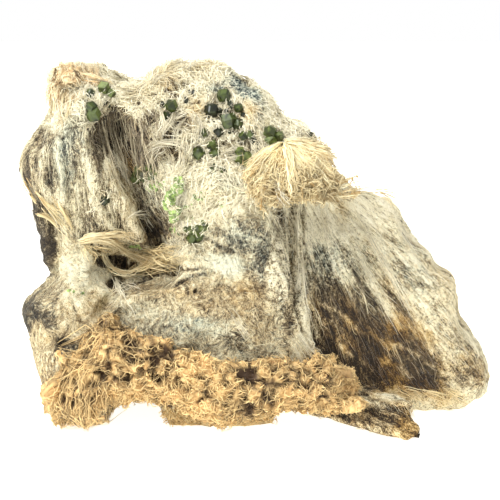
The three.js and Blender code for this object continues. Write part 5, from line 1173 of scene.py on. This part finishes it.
BUNDLES = {
    "knob_tuft_fibres": (knob_fibre, 0.7, 0.7, 0.07, 26, [
        [(93, 85, 0), (84, 72, 1), (72, 63, 1)], [(90, 83, 0), (78, 73, 1.2), (62, 68, 1)], [(88, 84, 0), (72, 78, 1.4), (56, 80, 1)],
        [(84, 74, 0.4), (68, 68, 1), (55, 76, 1), (50, 90, 0.6)], [(96, 78, 0), (94, 68, 1), (88, 61, 1)],
        [(92, 80, 0.5), (76, 76, 1.6), (60, 74, 1.2), (52, 84, 0.6)], [(98, 80, 0.3), (84, 78, 1), (66, 80, 1)],
        [(110, 84, 0.3), (96, 80, 1), (80, 78, 1.4), (70, 76, 1)]]),
    "knob_side_fibres": (knob_fibre, 0.6, 0.6, 0.07, 26, [
        [(60, 74, 0.5), (52, 86, 0.6), (52, 104, 0.5), (57, 124, 0.2)], [(66, 78, 0.5), (59, 92, 0.6), (59, 110, 0.5), (63, 130, 0.2)],
        [(72, 84, 0.4), (66, 98, 0.6), (66, 116, 0.3)], [(58, 84, 0.4), (50, 92, 0.5), (49, 112, 0.3)],
        [(80, 90, 0.2), (74, 100, 0.5), (72, 118, 0.2)]]),
    "cavity_band_fibres": (fan_fibre, 0.42, 0.3, 0.08, 30, [
        [(77, 240, 0.6), (90, 236, 1.2), (106, 235, 1.5), (122, 234, 1.5), (138, 239, 1)],
        [(78, 242, 0.6), (92, 238, 1.4), (108, 239, 1.8), (124, 244, 2)],
        [(79, 243, 0.6), (96, 240, 1.5), (112, 243, 2.2), (124, 251, 2.8), (138, 257, 2.6), (154, 262, 2)],
        [(103, 249, 1.6), (105, 260, 2.2), (111, 268, 2.4), (121, 273, 2.4), (131, 274, 2.2), (140, 267, 2.2), (148, 260, 2)],
        [(84, 247, 0.8), (94, 250, 1.4), (104, 254, 1.8)]]),
    "cavity_tangle": (golden_fibre, 0.9, 0.9, 0.075, 18, [
        [(126, 250, 1), (142, 258, 2.4), (160, 264, 2), (178, 268, 1)], [(136, 252, 1), (152, 254, 2.4), (168, 252, 1.6), (182, 256, 1)],
        [(140, 262, 1.4), (154, 268, 2.4), (170, 262, 1.6)], [(128, 272, 1), (142, 270, 2), (156, 260, 2), (166, 250, 1)],
        [(148, 250, 1), (160, 258, 2.2), (176, 262, 1)], [(152, 258, 1.6), (168, 266, 2.2), (186, 262, 1)],
        [(96, 246, 1), (110, 246, 2), (126, 248, 2)], [(158, 248, 1), (172, 254, 2), (188, 252, 1)], [(84, 246, 0.4), (90, 252, 1), (88, 258, 0.4)]]),
    "left_edge_straws": (golden_fibre, 0.35, 0.25, 0.11, 12, [
        [(21, 178, 0.8), (34, 198, 0.8), (52, 220, 0.8), (74, 240, 0.4)], [(26, 176, 0.8), (42, 200, 0.8), (60, 222, 0.8), (80, 246, 0.4)],
        [(36, 214, 0.8), (46, 217, 1), (60, 227, 0.6)], [(34, 190, 0.6), (50, 206, 0.9), (64, 214, 0.4)],
        [(52, 196, 0.2), (64, 212, 0.6), (74, 232, 0.3)]]),
    "gully_straws": (cream_fibre, 0.35, 0.5, 0.06, 15, [
        [(150, 108, 0.3), (166, 118, 1.6), (186, 130, 0.6)], [(153, 132, 0.3), (168, 122, 1.8), (192, 112, 0.6)],
        [(158, 104, 0.3), (164, 122, 2), (160, 142, 0.6)], [(176, 108, 0.4), (170, 124, 2), (156, 138, 0.6)],
        [(186, 118, 0.4), (176, 132, 2), (174, 150, 0.8)], [(192, 126, 0.3), (184, 138, 1.8), (186, 156, 0.6)],
        [(142, 160, 0.3), (152, 146, 1.6), (172, 143, 2.2), (192, 152, 0.6)], [(144, 156, 0.3), (160, 143, 2), (184, 146, 1.6), (196, 160, 0.4)],
        [(150, 168, 0.3), (156, 152, 2), (166, 146, 1.6)], [(168, 150, 1.6), (172, 162, 1.8), (168, 176, 0.6)],
        [(178, 146, 1.6), (182, 160, 1.8), (178, 174, 0.5)], [(124, 222, 0.4), (134, 215, 1.2), (147, 213, 0.5)],
        [(138, 216, 0.8), (146, 217, 1), (152, 226, 0.4)], [(106, 172, 0.2), (118, 164, 1), (126, 176, 0.4)],
        [(112, 148, 0.2), (120, 164, 1.2), (126, 184, 0.4)], [(92, 204, 0.3), (104, 200, 1), (118, 206, 0.3)]]),
    "crown_straws": (cream_fibre, 0.5, 0.9, 0.06, 22, [
        [(212, 158, 0.2), (226, 152, 0.8), (242, 147, 0.5)], [(214, 162, 0.2), (228, 157, 0.9), (244, 154, 0.5)],
        [(196, 122, 0.3), (204, 132, 1), (206, 148, 0.4)], [(190, 112, 0.3), (198, 124, 1.2), (196, 142, 0.4)],
        [(184, 72, 0.2), (196, 66, 0.7), (210, 66, 0.4)], [(168, 66, 0.2), (180, 61, 0.7), (194, 63, 0.4)],
        [(246, 112, 0.2), (254, 120, 0.9), (258, 132, 0.4)], [(150, 88, 0.2), (160, 80, 0.9), (172, 80, 0.4)],
        [(262, 98, 0.2), (274, 104, 0.7), (284, 114, 0.5)], [(240, 76, 0.2), (250, 82, 0.7), (258, 90, 0.5)],
        [(282, 140, 0.4), (268, 148, 1), (258, 162, 0.5)], [(128, 100, 0.2), (140, 98, 0.9), (150, 106, 0.3)],
        [(200, 170, 0.2), (216, 166, 1), (236, 172, 0.4)], [(236, 190, 0.2), (250, 186, 1), (262, 196, 0.3)]]),
    "lobe_straws": (cream_fibre, 0.7, 0.9, 0.05, 14, [
        [(112, 270, 0.3), (116, 288, 0.8), (113, 310, 0.6)], [(118, 284, 0.3), (128, 290, 0.8), (140, 302, 0.4)],
        [(114, 276, 0.3), (124, 296, 0.9), (136, 316, 0.5)], [(108, 300, 0.3), (118, 292, 0.8), (132, 288, 0.4)],
        [(230, 310, 0.2), (244, 330, 0.5), (254, 344, 0.3)], [(296, 330, 0.3), (306, 346, 0.8), (318, 362, 0.5)],
        [(290, 336, 0.3), (300, 350, 0.9), (310, 366, 0.5)], [(302, 340, 0.3), (312, 352, 0.9), (324, 366, 0.4)]]),
    "foot_fringe": (golden_fibre, 0.6, 0.8, 0.06, 20, [
        [(400, 388, 0.3), (414, 392, 0.8), (428, 398, 0.6)], [(420, 390, 0.3), (436, 396, 0.8), (452, 400, 0.6)],
        [(444, 388, 0.3), (458, 396, 0.8), (474, 402, 0.6)], [(392, 394, 0.3), (404, 398, 0.8), (418, 402, 0.5)],
        [(342, 196, 0.2), (358, 192, 0.7), (378, 192, 0.4)], [(372, 192, 0.2), (388, 194, 0.7), (402, 204, 0.4)]]),
}
knob_core = remeshed(welded_copy("knob_fibre_tuft", "knob_tuft"), 0.4 * MM, smoothing=6)
places, normals = points_of(knob_core)
places = places + normals * (0.7 * knobs(places / MM, 1.6, 86) - 0.9)[:, None] * MM
places[:, 0] += 0.15 * (places[:, 0].max() - places[:, 0])
places[:, 2] -= 0.15 * (places[:, 2] - places[:, 2].min())
move_points(knob_core, places)
lean = np.array((0.25, -0.1, -0.9)) + 0.8 * np.stack([cloud(places / MM, 1.8, seed, 1) for seed in (81, 82, 83)], axis=1)
# Painted shade: streaks of the hollow mask darken the gaps between the matted locks.
write_values(knob_core, hollow=smooth(0.0, 0.45, cloud(places / MM * (1, 1, 0.4), 0.9, 87)), shade=np.clip(0.4 + 0.5 * cloud(places / MM, 0.7, 85), 0, 1), along=np.full(len(places), 0.4),
             lie=turned_to(lean), tuft_hair=np.ones(len(places)))
knob_core.data.materials.append(knob_fibre)
knob_curls = grow(
    "knob_curls", knob_core, Material=knob_fibre, Where="tuft_hair", Length=2.4 * MM, Thickness=0.07 * MM,
    Arch=1.6 * MM, Stray=0.5, Bend=2.0 * MM, Cling=0.75, Joints=6, Seed=84,
    **{"Per m2": 5.0e6, "Tip lift": 0.9 * MM, "Bend size": 420.0, "Own way": 1.0})
BENDS = {"cavity_tangle": 5.2, "left_edge_straws": 1.2, "cavity_band_fibres": 3.6}  # in mm; the others bend by 2.4 mm
OWN_WAYS = {"cavity_band_fibres": 2.6, "cavity_tangle": 2.0}
loose = {}
for name, (material, spread, splay, thickness, fibres, rows) in BUNDLES.items():
    loose[name] = spin(name, [on_rock(row) for row in rows], 9, Fibres=fibres, Material=material, Spread=spread * MM,
                       Splay=splay * MM, Thickness=thickness * MM, Bend=BENDS.get(name, 2.4) * MM, Trim=0.35, Seed=len(loose) + 70,
                       **{"Bend size": 330.0, "Own way": OWN_WAYS.get(name, 1.1)})
rows = []
for step in range(30):
    top_x, top_y = 99 + 1.9 * step, 116 + 16 * math.sin(step * 2.1) + 0.35 * step
    drift = 10 + 0.2 * step + 5 * math.sin(step * 1.3)
    rows.append([(top_x, top_y, 0.1), (top_x + 0.4 * drift, top_y + 24, 0.7), (top_x + drift, top_y + 50 + 12 * math.sin(step), 0.2)])
loose["recess_fibres"] = spin("recess_fibres", [on_rock(row) for row in rows], 8, Fibres=12, Material=recess_fibre, Spread=0.7 * MM,
                              Splay=0.6 * MM, Thickness=0.06 * MM, Bend=1.4 * MM, Trim=0.45, Seed=90,
                              **{"Bend size": 260.0, "Own way": 0.8})
rows = [[(at_x, at_y, 0.1) for at_x, at_y in line] for line, width, rise in RIDGES[:5]]
loose["crest_fibres"] = spin("crest_fibres", [on_rock(row) for row in rows], 12, Fibres=30, Material=cream_fibre, Spread=0.7 * MM,
                             Splay=0.7 * MM, Thickness=0.04 * MM, Bend=1.2 * MM, Trim=0.6, Seed=91,
                             **{"Bend size": 260.0, "Own way": 0.9})

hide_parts("ochre_fibre_mat")
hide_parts("shoulder_fibre_tuft")
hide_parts("knob_fibre_tuft")
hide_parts("cavity_fibre_bands")
for piece in mat_pieces + fan_pieces + [knob_core, knob_curls] + list(loose.values()):
    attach(piece, "root")

# %% [markdown]
# ## Demantoid crystals
#
# Demantoid is green andradite garnet: glassy, very refractive, and clear where it is thin. Each
# crystal is a twelve-faced solid. A small bevel on its edges gives the narrow second faces that
# garnets have, and they catch the light.

# %% Demantoid, natural faces


def demantoid(name, surface_hex, inside_hex, density):
    """Clear green garnet. The density sets how dark it is through its depth. Each face also gets a painted reflection:
    its green is made lighter or darker.
    """
    material, tree, output = new_material(name)
    place = add_node(tree, "ShaderNodeTexCoord")
    veils = add_node(tree, "ShaderNodeTexNoise", None, {"Vector": place.outputs["Object"], "Scale": 900.0, "Detail": 3.0})
    facet = add_node(tree, "ShaderNodeAttribute", {"attribute_name": "facet"})
    # Painted reflection: each face's own number makes its green lighter or darker, together with the noise of the
    # veils.
    patchy = add_node(tree, "ShaderNodeMath", {"operation": "MULTIPLY_ADD"}, {0: facet.outputs["Fac"], 1: 0.16, 2: veils.outputs["Fac"]})
    veiled = add_node(tree, "ShaderNodeMapRange", None, {
        "Value": patchy.outputs[0], "From Min": 0.4, "From Max": 0.7, "To Min": 0.3, "To Max": 1.5})
    tinted = add_node(tree, "ShaderNodeVectorMath", {"operation": "SCALE"}, {0: colour(surface_hex)[:3], "Scale": veiled.outputs[0]})
    growth = add_node(tree, "ShaderNodeBump", None, {"Height": veils.outputs["Fac"], "Strength": 0.35, "Distance": 0.15 * MM})
    shader = add_node(tree, "ShaderNodeBsdfPrincipled", None, {
        "Base Color": tinted.outputs[0], "Roughness": 0.35, "IOR": 1.88, "Specular IOR Level": 0.08, "Transmission Weight": 0.25, "Normal": growth.outputs[0]})
    tree.links.new(shader.outputs[0], output.inputs["Surface"])
    depth = add_node(tree, "ShaderNodeVolumeAbsorption", None, {"Color": colour(inside_hex), "Density": density})
    tree.links.new(depth.outputs[0], output.inputs["Volume"])
    return material


bright_garnet = demantoid("demantoid_bright", "#636f38", "#94a453", 800.0)
green_garnet = demantoid("demantoid_green", "#3f4b19", "#627322", 1700.0)
dark_garnet = demantoid("demantoid_dark", "#20270b", "#4a5820", 2600.0)
olive_garnet = demantoid("demantoid_olive", "#56542a", "#73702f", 1200.0)
TONES = {"bright": bright_garnet, "dark": dark_garnet, "black": dark_garnet, "gully_garnet": olive_garnet, "slab": dark_garnet}
crystals = []
for name in CRYSTALS:
    piece = welded_copy(name, name + "_crystals")
    edges = piece.modifiers.new("edges", "BEVEL")
    edges.width = 0.2 * MM
    edges.segments = 1
    edges.limit_method = "ANGLE"
    bake(piece)
    corners, _ = points_of(piece)
    middle = corners.mean(axis=0)
    move_points(piece, middle + (corners - middle) * 0.93 - np.array(towards_eye) * 0.15 * MM)
    normals = np.array([face.normal for face in piece.data.polygons])
    # Each face gets a number of its own for its painted reflection.
    facet_reflections = piece.data.attributes.new("facet", "FLOAT", "FACE")  # each face mirrors another part of the inside
    facet_reflections.data.foreach_set("value", cell_value(np.round(normals * 2.5).astype(np.int64), 71).astype(np.float32))
    piece.data.materials.append(next((TONES[word] for word in TONES if word in name), green_garnet))
    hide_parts(name)
    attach(piece, "root")
    crystals.append(piece)
print("crystals:", len(crystals))

# %% [markdown]
# ## Crust and small grains
#
# The lime-green crust is a crowd of tiny andradite grains in a net of fibre. Its solid gives the
# heap, and a tree of geometry nodes scatters faceted grains over it. The same tree sets the small
# dark garnets into the felt, where a mask on the rock says so.

# %% The tree that scatters grains


def grain_tree():
    """Scatters small faceted grains on a surface. They sink in by a part of their size."""
    tree = bpy.data.node_groups.new("scattered_grains", "GeometryNodeTree")
    face = tree.interface
    face.new_socket("Geometry", in_out="OUTPUT", socket_type="NodeSocketGeometry")
    face.new_socket("Geometry", in_out="INPUT", socket_type="NodeSocketGeometry")
    face.new_socket("Where", in_out="INPUT", socket_type="NodeSocketString")
    for name in ("Per m2", "Smallest", "Largest"):
        face.new_socket(name, in_out="INPUT", socket_type="NodeSocketFloat")
    face.new_socket("Seed", in_out="INPUT", socket_type="NodeSocketInt")
    face.new_socket("Material", in_out="INPUT", socket_type="NodeSocketMaterial")
    given = add_node(tree, "NodeGroupInput").outputs
    mask = add_node(tree, "GeometryNodeInputNamedAttribute", {"data_type": "FLOAT"}, {"Name": given["Where"]})
    density = add_node(tree, "ShaderNodeMath", {"operation": "MULTIPLY"}, {0: mask.outputs["Attribute"], 1: given["Per m2"]})
    places = add_node(tree, "GeometryNodeDistributePointsOnFaces", {"distribute_method": "RANDOM"}, {
        "Mesh": given["Geometry"], "Density": density.outputs[0], "Seed": given["Seed"]})
    chance = add_node(tree, "FunctionNodeRandomValue", {"data_type": "FLOAT"}, {"Seed": given["Seed"]})
    shaded = add_node(tree, "GeometryNodeStoreNamedAttribute", {"data_type": "FLOAT", "domain": "POINT"}, {
        "Geometry": places.outputs["Points"], "Name": "shade", "Value": chance.outputs[1]})
    turn = add_node(tree, "FunctionNodeRandomValue", {"data_type": "FLOAT_VECTOR"}, {0: (0.0, 0.0, 0.0), 1: (6.28, 6.28, 6.28), "Seed": 2})
    size = add_node(tree, "FunctionNodeRandomValue", {"data_type": "FLOAT"}, {2: given["Smallest"], 3: given["Largest"], "Seed": 4})
    ball = add_node(tree, "GeometryNodeMeshIcoSphere", None, {"Radius": 1.0, "Subdivisions": 1})
    set_in = add_node(tree, "GeometryNodeInstanceOnPoints", None, {
        "Points": shaded.outputs[0], "Instance": ball.outputs[0], "Rotation": turn.outputs[0], "Scale": size.outputs[1]})
    real = add_node(tree, "GeometryNodeRealizeInstances", None, {"Geometry": set_in.outputs[0]})
    finished = add_node(tree, "GeometryNodeSetMaterial", None, {"Geometry": real.outputs[0], "Material": given["Material"]})
    add_node(tree, "NodeGroupOutput", None, {0: finished.outputs[0]})
    return tree


GRAINS = grain_tree()


def scatter(name, surface, **sizes):
    """Scatters grains on a surface, as a plain mesh of its own."""
    return grow(name, surface, GRAINS, **sizes)


# %% Grains of green andradite
lime_grain = demantoid("lime_green_andradite", "#9fb869", "#b9d08a", 100.0)
crust = remeshed(welded_copy("lime_green_crust", "lime_crust"), 0.3 * MM, smoothing=2)
places, normals = points_of(crust)
lumps = knobs(places / MM, 0.9, 91)
move_points(crust, places + normals * ((0.45 * lumps - 0.5) * MM)[:, None])
write_values(crust, grain_hair=np.ones(len(places)), lie=turned_to(np.stack([cloud(places / MM, 1.3, seed, 1) for seed in (92, 93, 94)], axis=1)))
crust.data.materials.append(fibre)
for name, value in (("pale", 0.85), ("ochre", 0.05), ("dark", 0.1), ("blue", 0.25)):
    write_values(crust, **{name: np.full(len(places), value)})
write_values(crust, grain=places / MM)
crust_pieces = [
    crust,
    scatter("lime_grains", crust, Material=lime_grain, Where="grain_hair", Smallest=0.2 * MM, Largest=0.5 * MM, Seed=95, **{"Per m2": 4.0e6}),
    grow("crust_net", crust, Material=fibre, Where="grain_hair", Length=1.8 * MM, Thickness=0.045 * MM, Arch=2.0 * MM, Stray=0.9,
         Bend=1.6 * MM, Cling=0.85, Joints=5, Seed=96, **{"Per m2": 3.5e6, "Tip lift": 0.3 * MM, "Bend size": 600.0, "Own way": 1.0})]
small_grains = [
    scatter("lime_specks", rock, Material=lime_grain, Where="lime_hair", Smallest=0.15 * MM, Largest=0.4 * MM, Seed=97, **{"Per m2": 2.6e6}),
    scatter("small_garnets", rock, Material=dark_garnet, Where="garnet_hair", Smallest=0.35 * MM, Largest=0.75 * MM, Seed=98, **{"Per m2": 1.6e6}),
    scatter("green_aggregate", rock, Material=bright_garnet, Where="green_hair", Smallest=0.4 * MM, Largest=0.9 * MM, Seed=99, **{"Per m2": 4.0e6})]
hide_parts("lime_green_crust")
for piece in crust_pieces + small_grains:
    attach(piece, "root")
print("pieces of crust and grains:", len(crust_pieces + small_grains))

# %% Ride and replace
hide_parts("matrix")
for piece in rock_pieces:
    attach(piece, "root")
